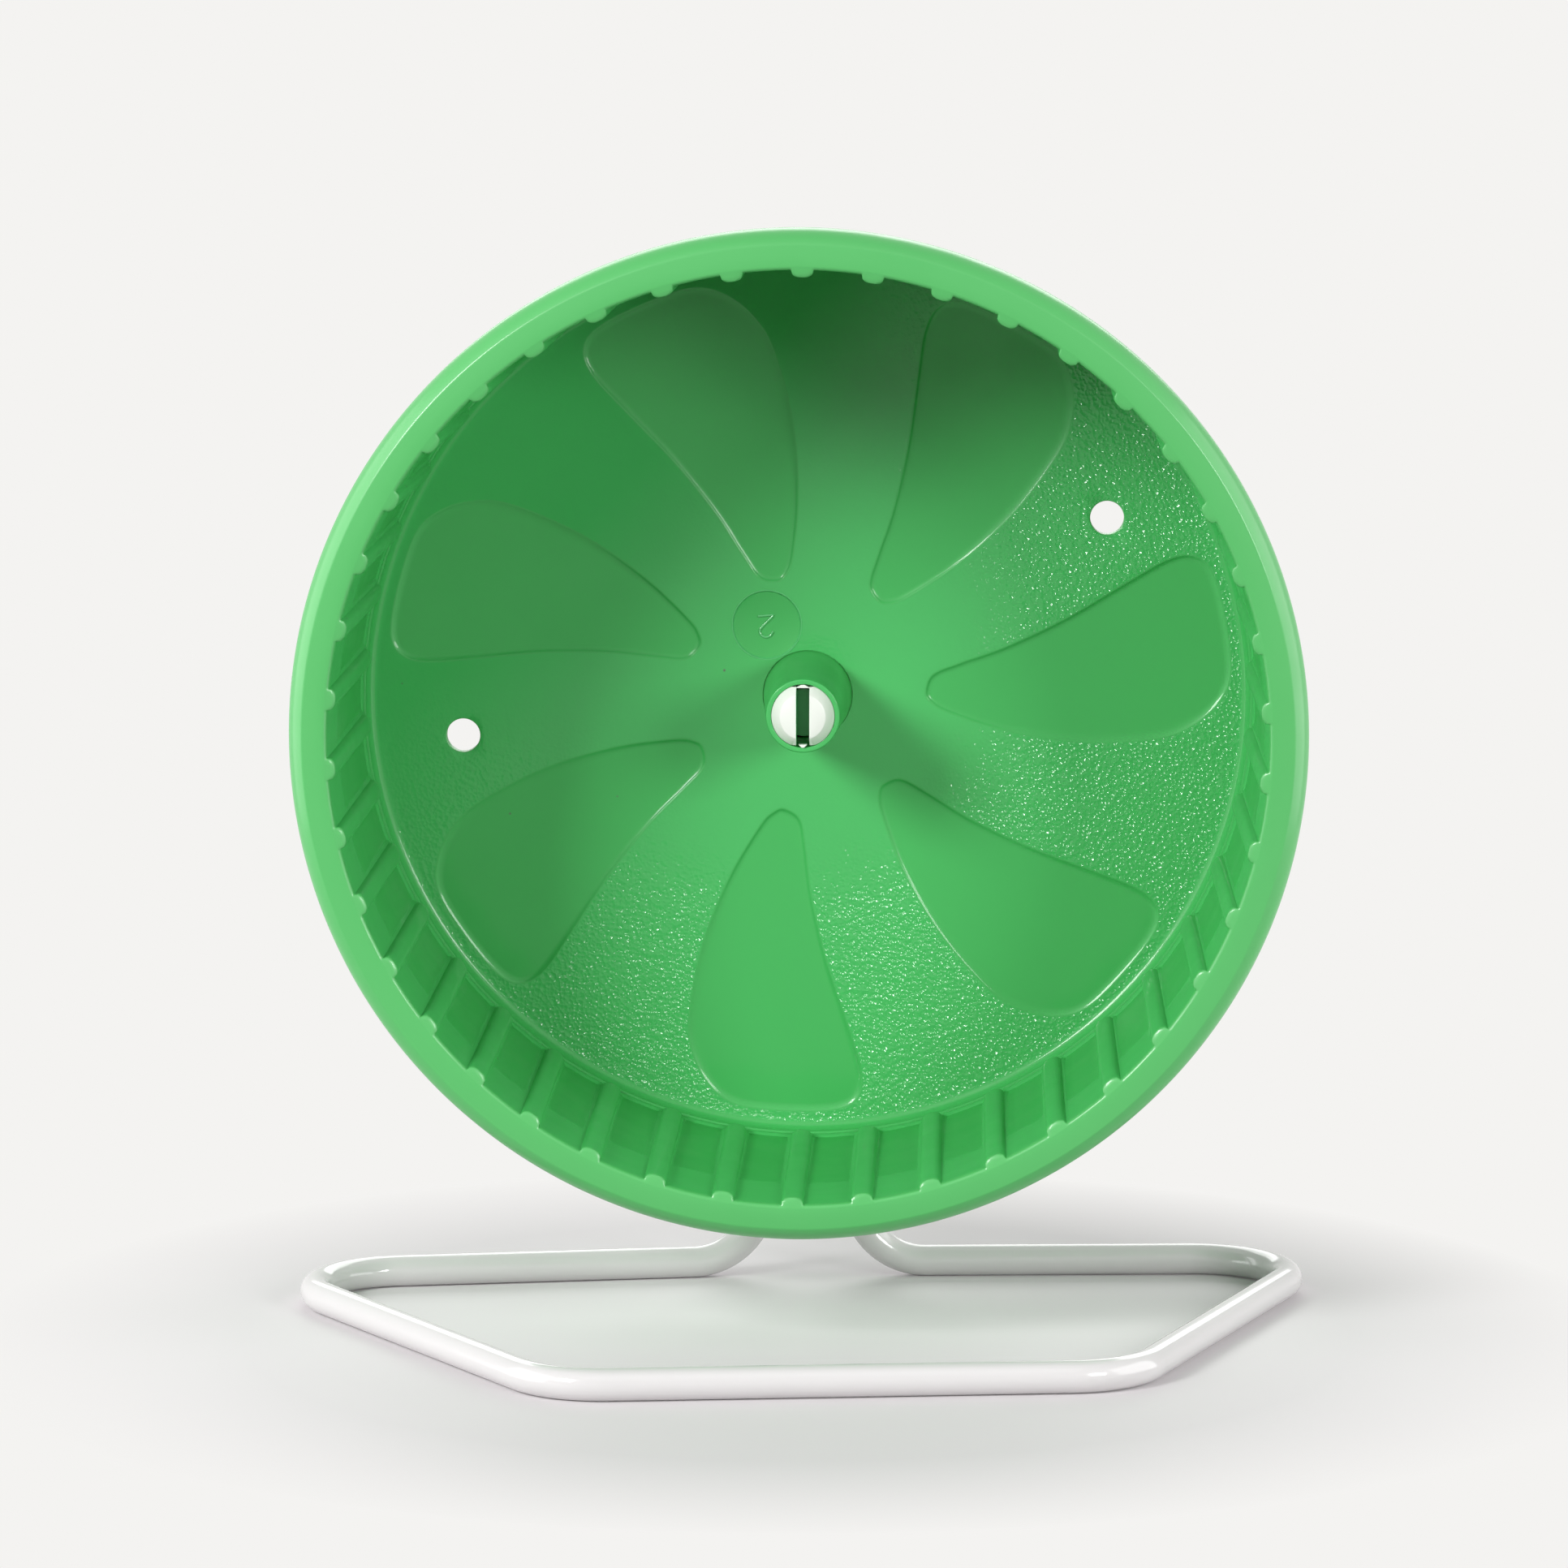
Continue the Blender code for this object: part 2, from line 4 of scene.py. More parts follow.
import bmesh
import bpy
import numpy as np
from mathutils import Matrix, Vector


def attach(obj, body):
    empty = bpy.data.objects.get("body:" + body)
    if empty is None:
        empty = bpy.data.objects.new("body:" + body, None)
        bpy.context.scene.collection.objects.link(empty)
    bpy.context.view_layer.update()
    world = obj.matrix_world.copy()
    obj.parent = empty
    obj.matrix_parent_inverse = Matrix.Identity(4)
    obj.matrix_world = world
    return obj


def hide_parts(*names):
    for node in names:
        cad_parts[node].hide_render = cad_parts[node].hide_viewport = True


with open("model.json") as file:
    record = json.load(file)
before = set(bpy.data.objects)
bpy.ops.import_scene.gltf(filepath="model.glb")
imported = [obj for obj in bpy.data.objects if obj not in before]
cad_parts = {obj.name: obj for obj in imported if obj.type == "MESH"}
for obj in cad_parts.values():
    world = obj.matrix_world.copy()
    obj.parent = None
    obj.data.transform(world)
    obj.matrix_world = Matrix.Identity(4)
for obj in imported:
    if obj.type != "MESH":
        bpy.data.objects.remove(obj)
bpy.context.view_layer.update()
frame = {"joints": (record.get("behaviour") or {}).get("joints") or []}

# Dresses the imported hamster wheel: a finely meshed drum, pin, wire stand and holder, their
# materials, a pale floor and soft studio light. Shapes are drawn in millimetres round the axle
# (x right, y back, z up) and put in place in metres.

mm = 0.001
axle = np.array(frame["joints"][0]["pos_m"])
crispAngle = math.radians(35)  # edges that turn by more than this stay crisp
weldGap = 0.0004 * mm  # points closer than this become one


# Shared making

def addGrid(verts, faces, points, wrapAcross=True, wrapAlong=False):
    # Adds a grid of points (rows, columns, xyz) and its quads to a shape being gathered.
    rows, columns = points.shape[:2]
    start = sum(len(block) for block in verts)
    verts.append(points.reshape(-1, 3))
    index = start + np.arange(rows * columns).reshape(rows, columns)
    if wrapAcross:
        index = np.column_stack([index, index[:, :1]])
    if wrapAlong:
        index = np.vstack([index, index[:1]])
    quads = np.stack([index[:-1, :-1], index[:-1, 1:], index[1:, 1:], index[1:, :-1]], axis=-1)
    faces.extend(quads.reshape(-1, 4).tolist())
    return index


def inScene(name, data):
    # A new object with the given mesh, light or camera.
    made = bpy.data.objects.new(name, data)
    bpy.context.scene.collection.objects.link(made)
    return made


def makePiece(name, verts, faces, materials, kinds=None, weld=weldGap):
    # Turns gathered points and faces into one welded object with its faces outwards. Kinds give
    # each face's material.
    mesh = bpy.data.meshes.new(name)
    mesh.from_pydata((np.concatenate(verts) * mm + axle).tolist(), [], faces)
    for material in materials:
        mesh.materials.append(material)
    if kinds is not None:
        mesh.polygons.foreach_set('material_index', kinds)
    shape = bmesh.new()
    shape.from_mesh(mesh)
    bmesh.ops.remove_doubles(shape, verts=shape.verts, dist=weld)
    bmesh.ops.recalc_face_normals(shape, faces=shape.faces)
    shape.to_mesh(mesh)
    shape.free()
    mesh.shade_smooth()
    mesh.set_sharp_from_angle(angle=crispAngle)
    return inScene(name, mesh)


def loft(name, rows, material, joined=False):
    # Closed piece through rows of points, each row a ring: capped by its first and last ring, or
    # with the last joined to the first.
    verts, faces = [], []
    index = addGrid(verts, faces, np.asarray(rows), True, joined)
    if not joined:
        faces += [index[0, :-1].tolist(), index[-1, :-1].tolist()]
    return makePiece(name, verts, faces, [material])


def turnRows(profile, angles):
    # Rows of points for a profile of (radius, y) pairs turned through the given angles: x is the
    # radius times the cosine, z the radius times the sine.
    profile = np.array(profile)
    around = np.stack([np.cos(angles), np.zeros_like(angles), np.sin(angles)], axis=-1)
    rows = profile[:, None, :1] * around[None]
    rows[:, :, 1] = profile[:, 1:2]
    return rows


def turnedPiece(name, profile, steps, material, rise=0.0):
    # Closed turned piece: a ring if the profile stays off the axis, else a solid capped by fans.
    angles = np.arange(steps) * 2 * math.pi / steps
    if profile[0][0] > 0:
        return loft(name, turnRows(profile, angles), material, True)
    verts, faces = [], []
    index = addGrid(verts, faces, turnRows(profile[1:-1], angles))
    verts.append(np.array([[0, profile[0][1], 0], [0, profile[-1][1], 0]], dtype=float))
    first = len(verts[0])
    for tip, ring in ((first, index[0]), (first + 1, index[-1])):
        faces.extend([[int(a), int(b), tip] for a, b in zip(ring[:-1], ring[1:])])
    verts = [block + np.array([0, 0, rise]) for block in verts]
    return makePiece(name, verts, faces, [material])


def arc(centre, radius, start, end, steps):
    # Points of an arc in a profile, its angles in degrees.
    turn = np.radians(np.linspace(start, end, steps + 1))
    return [(centre[0] + radius * math.cos(t), centre[1] + radius * math.sin(t)) for t in turn]


def smoothStep(value, low, high):
    share = np.clip((value - low) / (high - low), 0, 1)
    return share * share * (3 - 2 * share)


def resample(points, count):
    # Evenly spaced points along a line through the given points.
    reach = np.concatenate([[0], np.cumsum(np.linalg.norm(np.diff(points, axis=0), axis=1))])
    spots = np.linspace(0, reach[-1], count + 1)
    return np.stack([np.interp(spots, reach, points[:, k]) for k in range(points.shape[1])], axis=-1)


def smoothLine(points, pieces, closed):
    # Catmull-Rom curve: each stretch is a cubic led by its neighbours.
    points = np.array(points, dtype=float)
    count = len(points)
    if closed:
        before, start, end, after = (np.roll(points, -k, axis=0) for k in (-1, 0, 1, 2))
    else:
        padded = np.vstack([2 * points[0] - points[1], points, 2 * points[-1] - points[-2]])
        before, start, end, after = padded[:-3], padded[1:-2], padded[2:-1], padded[3:]
    t = (np.arange(pieces) / pieces)[None, :, None]
    before, start, end, after = (block[:, None, :] for block in (before, start, end, after))
    curve = 0.5 * (2 * start + (end - before) * t + (2 * before - 5 * start + 4 * end - after) * t ** 2
                   + (3 * start - before - 3 * end + after) * t ** 3)
    curve = curve.reshape(-1, points.shape[1])
    return curve if closed else np.vstack([curve, points[-1:]])


def outlineNormals(outline):
    # Inward unit normals of an outline that runs anticlockwise, seen from the front.
    ahead = np.roll(outline, -1, axis=0) - np.roll(outline, 1, axis=0)
    ahead /= np.linalg.norm(ahead, axis=1)[:, None]
    return np.column_stack([-ahead[:, 1], ahead[:, 0]])


def lift(flat, y):
    # (x, z) points into the plane at y, which may be one number or one for each point.
    flat = np.asarray(flat)
    return np.column_stack([flat[:, 0], np.broadcast_to(y, len(flat)), flat[:, 1]])


def baked(target, tools, crisp=crispAngle):
    # Cuts the tools away and keeps the result as the piece's own plain mesh. The faces of a cut
    # take the tool's material.
    for tool in tools:
        modifier = target.modifiers.new(tool.name, 'BOOLEAN')
        modifier.operation = 'DIFFERENCE'
        modifier.solver = 'EXACT'
        modifier.material_mode = 'TRANSFER'
        modifier.object = tool
    graph = bpy.context.evaluated_depsgraph_get()
    mesh = bpy.data.meshes.new_from_object(target.evaluated_get(graph))
    old = target.data
    target.modifiers.clear()
    target.data = mesh
    mesh.name = target.name
    bpy.data.meshes.remove(old)
    mesh.shade_smooth()
    mesh.set_sharp_from_angle(angle=crisp)
    for tool in tools:
        bpy.data.meshes.remove(tool.data)
    bpy.context.view_layer.update()


def softened(piece, width):
    # Rounds the edges that the cuts left.
    bevel = piece.modifiers.new('softEdges', 'BEVEL')
    bevel.width = width * mm
    bevel.segments = 2
    bevel.angle_limit = math.radians(50)
    bevel.harden_normals = True


def prism(name, outline, low, high, material, alongZ=False):
    # Straight bar with the given outline: (x, z) drawn back along y, or (x, y) drawn up along z.
    rows = np.stack([lift(outline, low), lift(outline, high)])
    if alongZ:
        rows = rows[:, :, [0, 2, 1]]
    return loft(name, rows, material)


def circle(centre, radius, steps):
    # Points of a circle in a plane, the first half a step round from its right.
    turn = (np.arange(steps) + 0.5) * 2 * math.pi / steps
    return np.column_stack([centre[0] + radius * np.cos(turn), centre[1] + radius * np.sin(turn)])


def linear(code):
    # sRGB hex to linear red, green and blue, with an alpha of 1.
    values = [int(code[k:k + 2], 16) / 255 for k in (0, 2, 4)]
    return [v / 12.92 if v <= 0.04045 else ((v + 0.055) / 1.055) ** 2.4 for v in values] + [1]


# Materials

def newMaterial(name, colour, roughness, **sockets):
    # A Principled material with the given values.
    material = bpy.data.materials.new(name)
    material.use_nodes = True
    shader = material.node_tree.nodes['Principled BSDF']
    shader.inputs['Base Color'].default_value = linear(colour)
    shader.inputs['Roughness'].default_value = roughness
    for socket, value in sockets.items():
        shader.inputs[socket.replace('_', ' ')].default_value = value
    return material


def treeAndShader(material):
    return material.node_tree, material.node_tree.nodes['Principled BSDF']


def node(tree, kind, links=None, **settings):
    # Adds a node, sets its fields and unlinked inputs, and links the inputs named in links.
    made = tree.nodes.new('ShaderNode' + kind)
    for key, value in settings.items():
        if hasattr(made, key):
            setattr(made, key, value)
        else:
            made.inputs[key.replace('_', ' ')].default_value = value
    for socket, source in (links or {}).items():
        tree.links.new(source, made.inputs[socket])
    return made


def ramp(tree, source, low, high):
    # Rescales a value from one range to another, clamped: low and high are (from, to) pairs.
    made = node(tree, 'MapRange', {'Value': source})
    made.inputs['From Min'].default_value, made.inputs['To Min'].default_value = low
    made.inputs['From Max'].default_value, made.inputs['To Max'].default_value = high
    return made.outputs['Result']


def product(tree, a, b):
    return node(tree, 'Math', {0: a, 1: b}, operation='MULTIPLY').outputs['Value']


def addBump(tree, shader, height, strength, depth):
    # Shades the surface as if it rose by the height times the depth.
    bump = node(tree, 'Bump', {'Height': height}, Strength=strength, Distance=depth)
    tree.links.new(bump.outputs['Normal'], shader.inputs['Normal'])


plastic = {
    "waveScale": 90.0, "waveStrength": 0.4,  # waves about 11 mm long
    "glossSpread": 0.15,  # share by which the roughness varies
    "dustScale": 260.0, "dustReach": (0.03, 0.07),  # a place each 4 mm, specks 0.2 to 0.5 mm wide
    "dustColour": '5d6b5c',
}


def mouldedPlastic(name, colour, roughness, waveDepth, speckShare, **sockets):
    # Injection-moulded plastic: a faint waviness of the mould steel breaks the reflections, a soft
    # variation of gloss shows handling, and tiny dark specks are dust on the surface.
    p = plastic
    material = newMaterial(name, colour, roughness, **sockets)
    tree, shader = treeAndShader(material)
    place = node(tree, 'TexCoord').outputs['Object']
    wave = node(tree, 'TexNoise', {'Vector': place}, Scale=p["waveScale"], Detail=2.0)
    gloss = ramp(tree, wave.outputs['Fac'], (0.3, roughness * (1 - p["glossSpread"])),
                 (0.7, roughness * (1 + p["glossSpread"])))
    tree.links.new(gloss, shader.inputs['Roughness'])
    dust = node(tree, 'TexVoronoi', {'Vector': place}, Scale=p["dustScale"])
    near, far = p["dustReach"]
    dot = ramp(tree, dust.outputs['Distance'], (near, 1.0), (far, 0.0))
    pick = node(tree, 'SeparateColor', {'Color': dust.outputs['Color']})
    chosen = ramp(tree, pick.outputs['Red'], (speckShare, 1.0), (speckShare + 0.001, 0.0))
    tint = node(tree, 'Mix', {'Factor': product(tree, dot, chosen)}, data_type='RGBA')
    tint.inputs['A'].default_value = linear(colour)
    tint.inputs['B'].default_value = linear(p["dustColour"])
    tree.links.new(tint.outputs['Result'], shader.inputs['Base Color'])
    addBump(tree, shader, wave.outputs['Fac'], p["waveStrength"], waveDepth)
    return material


# One green polypropylene in five finishes, whose base greens differ: each is set to the tone
# its part shows under these lamps, so part of that difference is painted light and shade. Lip and
# outside: blasted mould, a soft pale sheen.
greenGloss = mouldedPlastic('greenGloss', '4aac5a', 0.5, 0.00002, 0.01, Specular_IOR_Level=0.5,
                            Coat_Weight=0.45, Coat_Roughness=0.18)
# Blades, ribs and hub: smooth mould, a deeper green under thin highlights.
greenSmooth = mouldedPlastic('greenSmooth', '42b05a', 0.5, 0.00002, 0.01, Specular_IOR_Level=0.35,
                             Coat_Weight=0.4, Coat_Roughness=0.1)
# Panels between the ribs: ground mould, soft broad reflections. Their darker green is painted shade.
greenPolishShade = mouldedPlastic('greenPolishShade', '38a850', 0.35, 0.00002, 0.01, Specular_IOR_Level=0.5)
# Floor: leather grain, a mat ground with fine glints. Its paler green is a painted sheen.
greenGrainSheen = mouldedPlastic('greenGrainSheen', '49b863', 0.6, 0.00002, 0.01, Specular_IOR_Level=0.15,
                            Coat_Weight=0.8, Coat_Roughness=0.12)
# Raised marks on the floor: a paler green than the floor's, a painted highlight for the light
# their crests catch, over a real glossy coat.
greenCrestHighlight = mouldedPlastic('greenCrestHighlight', '58bd73', 0.3, 0.00001, 0.0, Coat_Weight=1.0,
                           Coat_Roughness=0.08)

grain = {
    "scale": 1800.0, "smoothness": 0.12,  # rounded cells about 0.56 mm apart
    "driftScale": 900.0, "drift": 0.0005,  # shifts the cells by up to 0.5 mm
    "depth": 0.00003, "coatDepth": 0.0003,  # the glossy skin shows far steeper slopes
    "hubFade": ((0.012, 0.12), (0.036, 1.0)),  # metres from the axle, then strength
    "cornerFade": ((-0.034, 0.2), (0.026, 1.0)),  # metres to the lower right, then strength
    "cornerCoatShade": ((-0.040, 0.1), (-0.022, 0.8)),  # the same, then weight of the coat, less to the upper left: painted shade
}


def addLeatherGrain(material):
    # Spark-eroded leather grain on the back wall: rounded cells whose slopes catch the light as
    # fine specks. It fades towards the hub and, as the photograph shows, to the upper left, where
    # it looks worn. There the coat's weight drops too, a painted shade that dims the reflection
    # where the lip's shadow falls.
    g = grain
    tree, shader = treeAndShader(material)
    waves = shader.inputs['Normal'].links[0].from_socket
    place = node(tree, 'TexCoord').outputs['Object']
    centred = node(tree, 'VectorMath', {0: place}, operation='SUBTRACT')
    centred.inputs[1].default_value = tuple(axle + np.array([0, drum["backY"] * mm, 0]))
    drift = node(tree, 'TexNoise', {'Vector': place}, Scale=g["driftScale"], Detail=1.0)
    bent = node(tree, 'VectorMath', {0: drift.outputs['Color']}, operation='SCALE')
    bent.inputs['Scale'].default_value = g["drift"]
    moved = node(tree, 'VectorMath', {0: place, 1: bent.outputs['Vector']}, operation='ADD')
    cells = node(tree, 'TexVoronoi', {'Vector': moved.outputs['Vector']},
                 Scale=g["scale"], feature='SMOOTH_F1', Smoothness=g["smoothness"])
    reach = node(tree, 'VectorMath', {0: centred.outputs['Vector']}, operation='LENGTH')
    fade = ramp(tree, reach.outputs['Value'], *g["hubFade"])
    corner = node(tree, 'VectorMath', {0: centred.outputs['Vector']}, operation='DOT_PRODUCT')
    corner.inputs[1].default_value = (math.sqrt(0.5), 0, -math.sqrt(0.5))
    worn = ramp(tree, corner.outputs['Value'], *g["cornerFade"])
    # Painted shade: the coat's weight, and so its reflection, falls to the upper left.
    gloss = ramp(tree, corner.outputs['Value'], *g["cornerCoatShade"])
    tree.links.new(gloss, shader.inputs['Coat Weight'])
    height = product(tree, cells.outputs['Distance'], product(tree, fade, worn))
    for socket, depth in (('Normal', g["depth"]), ('Coat Normal', g["coatDepth"])):
        bump = node(tree, 'Bump', {'Height': height, 'Normal': waves}, Strength=1.0, Distance=depth)
        tree.links.new(bump.outputs['Normal'], shader.inputs[socket])


# Pin: white acetal from a polished mould, a satin white with soft highlights.
pinWhite = mouldedPlastic('pinWhite', 'eceee8', 0.3, 0.00001, 0.01)
# The walls of the pin's split: the same white plastic, painted green to stand for the green light
# that the hub sends in: painted light.
splitPaintedLight = mouldedPlastic('splitPaintedLight', '6cc988', 0.35, 0.00001, 0.0)
# Holder and washer: white polypropylene from a fine mat mould, a dull even white.
holderWhite = mouldedPlastic('holderWhite', 'e4e6e2', 0.42, 0.00003, 0.01)
# Wire: steel dipped in white vinyl, smooth and wet-looking, with long narrow highlights. Its white
# is tinted a little pink against the green light the drum throws on it: painted light.
wireCoat = mouldedPlastic('wireCoat', 'd0cece', 0.14, 0.00003, 0.012, Coat_Weight=0.4,
                          Coat_Roughness=0.05)


def zincPlated(name, colour, roughness):
    # Plated steel with the heading tool's fine marks, drawn as noise about 0.25 mm across, which
    # is coarser than the real ones so that it shows.
    material = newMaterial(name, colour, roughness, Metallic=1.0)
    tree, shader = treeAndShader(material)
    place = node(tree, 'TexCoord').outputs['Object']
    scratch = node(tree, 'TexNoise', {'Vector': place}, Scale=4000.0, Detail=3.0)
    addBump(tree, shader, scratch.outputs['Fac'], 0.2, 0.00001)
    return material


# Screws: zinc-plated steel, a bright grey metal whose highlight the marks spread a little.
screwZinc = zincPlated('screwZinc', 'c4c5c2', 0.28)
print('materials done')


# Drum: lip, running wall with its ribs, back wall with its blades, all one welded shell

drum = {
    "rimRadius": 70.0, "treadRadius": 64.5, "wall": 1.6, "wallDraft": 1.1, "innerRadius": 5.0,
    "weld": 0.002, "crispAngle": 32,
    # Lip: its front's lead on the widest circle, the flat face, the shoulder and the round band.
    "lipLead": 2.5, "lipEdge": 0.6, "faceEnd": (66.4, -2.44), "shoulder": (67.75, -2.3),
    "shoulderRadius": 0.7, "shoulderStart": -86, "bandTurn": 56, "rollRadius": 2.6,
    "lipThickness": 1.5, "lipSkirt": 3.0,
    # Skirt's edge, from the rim and the skirt's reach, then the outside, from the tread and wall.
    "skirtSteps": ((0, -0.45), (-0.08, -0.16), (-0.3, 0), (-0.75, 0.04), (-1.2, 0),
                   (-1.42, -0.16), (-1.5, -0.45)),
    "outsideSteps": ((0.5, 0.05), (0.15, 0.3), (0, 0.8), (-0.5, 22.0)),
    # Back: the ledge's step, from the floor's radius and the ledge, the fillet and both faces.
    "ledgeY": 44.0, "ledgeHeight": 0.3,
    "ledgeSteps": ((0, 0.5), (0, 0.2), (0.03, 0.08), (0.1, 0.02), (0.27, 0)),
    "floorFillet": 1.5, "backY": 46.0, "backFaceY": 47.8, "backCorner": 1.2,
    # Ribs and the panels between them: columns are millimetres from a rib's centre line.
    "ribs": 42, "ribTurn": -0.6, "ribsToTop": 24, "ribHeight": 1.0, "ribHalf": 1.55,
    "ribRear": 43.1, "ribEndShares": (1.0, 0.96, 0.82, 0.45, 0.08),
    "ribColumns": (-3.3, -2.1, -1.8, -1.55, -1.4, -1.15, -0.8, -0.4, 0.0,
                   0.4, 0.8, 1.15, 1.4, 1.55, 1.8, 2.1, 3.3),
    "wallRows": (43.96, 43.8, 43.55, 43.35, 43.2, 43.1, 43.05, 42.95, 42.8, 42.6, 42.3, 41.95,
                 41.65, 40.5, 28, 12, -1.7, -1.9),
    "panelDepth": 0.4, "panelEdge": (1.6, 2.0), "panelRear": (-0.1, 0.4),
    "polishShift": 0.3, "polishEdge": 1.9, "polishRows": (8, 2),
}
blade = {
    "count": 7, "width": 25.0, "inner": 16.6, "outer": 60.4, "depth": 0.30,
    "shares": (
        (-0.130, 0.000), (-0.045, 0.035), (-0.015, 0.130), (0.020, 0.290), (0.105, 0.500),
        (0.225, 0.710), (0.305, 0.860), (0.295, 0.945), (0.190, 0.990), (-0.060, 1.000),
        (-0.400, 0.980), (-0.570, 0.910), (-0.665, 0.795), (-0.675, 0.670), (-0.600, 0.450),
        (-0.450, 0.230), (-0.270, 0.055), (-0.190, 0.008),
    ),
    "cornerShares": ((-0.600, 0.890), (0.305, 0.900), (-0.045, 0.035), (-0.210, 0.015)),
    "capSteps": 108, "sideSteps": 60, "tipSteps": 12, "rearSideSteps": 36,
    # Rows across the floor, over the recess's soft edge and down its side, which flattens out.
    "floorShares": (1.0, 0.66, 0.33, 0.1, 0.0), "edgeOut": 0.22,
    "edgeRows": ((-0.1, 0.012), (0.02, 0.045)), "sideStart": (0.04, 0.05), "sidePower": 2.6,
    "sideShares": (0.04, 0.1, 0.18, 0.28, 0.4, 0.54, 0.7, 0.86, 1.0, 1.12),
    # Width of the side, what it gains up the blade, and what it loses at its cap and on the right.
    "sideWidth": 0.85, "gain": 0.7, "capLoss": 0.5, "rightLoss": 0.8,
    "gainRange": (0.12, 0.45), "capRange": (0.75, 0.95), "rightRange": (0.35, 0.9),
    # Pad behind the blade: its foot, the rows to the border, and its edge as (out, rise).
    "padFoot": 0.6, "rearShares": (1.0, 0.5, 0.12, 0.0),
    "padRows": ((0.42, 0.05), (0.3, 0.16), (0.1, 0.72), (0.02, 0.92), (-0.1, 1.0), (-0.3, 1.0)),
}
pitchAngle = 2 * math.pi / drum["ribs"]
bladePitch = 2 * math.pi / blade["count"]
# Angles round the drum start midway between two ribs, where one blade's sector ends.
ribOffsets = np.concatenate([[-pitchAngle / 2], np.array(drum["ribColumns"]) / drum["treadRadius"]])
firstRib = math.radians(90 + drum["ribTurn"]) - drum["ribsToTop"] * pitchAngle
drumAngles = (firstRib + np.arange(drum["ribs"])[:, None] * pitchAngle + ribOffsets[None]).ravel()
ribDistance = np.tile(ribOffsets * drum["treadRadius"], drum["ribs"])


def ribRise(share):
    # Height of a rib: its full height times the root of 1 minus the cube of the share, which is
    # the distance from its centre line over its half width. A flat crest with steep sides.
    return drum["ribHeight"] * np.sqrt(np.maximum(0, 1 - share ** 3))


def runningWall(y, along):
    # Radius of the wall's inner face, which narrows evenly to the rear. The ribs stand in from it
    # and are domed at the rear end. Between them the panel lies back a little, more to the rear.
    d = drum
    share = (y + d["lipLead"]) / (d["ledgeY"] + d["lipLead"])
    base = d["treadRadius"] - d["wallDraft"] * share
    half = d["ribHalf"]
    beyond = np.maximum(0, y - (d["ribRear"] - half))
    distance = np.sqrt(along ** 2 + beyond ** 2) / half
    low, high = (d["ribRear"] + step for step in d["panelRear"])
    panel = smoothStep(np.abs(along), *d["panelEdge"]) * (1 - smoothStep(y, low, high))
    return base - ribRise(distance) + d["panelDepth"] * np.clip(share, 0, 1) * panel


def drumShell(verts, faces):
    # Everything outside the back wall's flat floor, as one profile turned round the axle: its
    # fillet, ledge, running wall, lip and outside.
    d = drum
    floorRadius = d["treadRadius"] - d["wallDraft"] - d["ledgeHeight"]
    flat = floorRadius - d["floorFillet"]
    ledge = arc((flat, d["backY"] - d["floorFillet"]), d["floorFillet"], 90, 0, 6)
    ledge += [(floorRadius + out, d["ledgeY"] + back) for out, back in d["ledgeSteps"]]
    stations = np.array(d["wallRows"])
    radius = runningWall(stations[:, None], ribDistance[None])
    wall = np.stack([radius * np.cos(drumAngles), np.broadcast_to(stations[:, None], radius.shape),
                     radius * np.sin(drumAngles)], axis=-1)
    rim, edge, turn = d["rimRadius"], d["lipEdge"], d["bandTurn"]
    lip = arc((d["treadRadius"] + edge, edge - d["lipLead"]), edge, 180, 270, 6) + [d["faceEnd"]]
    lip += arc((d["shoulder"][0], d["shoulder"][1] + d["shoulderRadius"]), d["shoulderRadius"],
               d["shoulderStart"], -turn, 5)
    start = lip[-1]
    band = (rim - start[0]) / (1 - math.cos(math.radians(turn)))
    lip += arc((rim - band, start[1] + band * math.sin(math.radians(turn))), band, -turn, 0, 10)[1:]
    lip += [(rim + out, d["lipSkirt"] + back) for out, back in d["skirtSteps"]]
    roll = d["rollRadius"] - d["lipThickness"]
    lip += arc((rim - d["rollRadius"], roll), roll, 0, -90, 4)
    outer, corner = d["treadRadius"] + d["wall"], d["backCorner"]
    lip += [(outer + out, back) for out, back in d["outsideSteps"]]
    lip += arc((outer - d["wallDraft"] - corner, d["backFaceY"] - corner), corner, 0, 90, 6)
    lip += [(flat, d["backFaceY"])]
    # The ribs run on into the lip's rounded inner edge and end there as bumps: each point moves in
    # by the rib's height, times a share that falls to nothing at the lip's front face.
    lipRows = turnRows(lip, drumAngles)
    crest = ribRise(np.abs(ribDistance / d["ribHalf"]))
    shares = np.array(d["ribEndShares"])[:, None, None]
    ends = lipRows[:len(shares)]
    edgeRadius = np.hypot(ends[:, :, 0], ends[:, :, 2])[:, :, None]
    ends[:, :, [0, 2]] *= 1 - crest[None, :, None] * shares / edgeRadius
    rows = np.concatenate([turnRows(ledge, drumAngles), wall, lipRows])
    before = len(faces)
    addGrid(verts, faces, rows)
    across, back = len(drumAngles), len(ledge) - 1
    # Which faces are the ground panels, the smooth wall and the grained fillet.
    between = np.flatnonzero(np.abs(ribDistance + d["polishShift"]) > d["polishEdge"])
    first, left = d["polishRows"]
    panelRows = back + np.arange(first, len(stations) - left)[:, None]
    polished = (before + panelRows * across + between).ravel()
    smooth = range(before, before + (back + len(stations) - 1) * across)
    filleted = range(before, before + across)
    return flat, polished, smooth, filleted


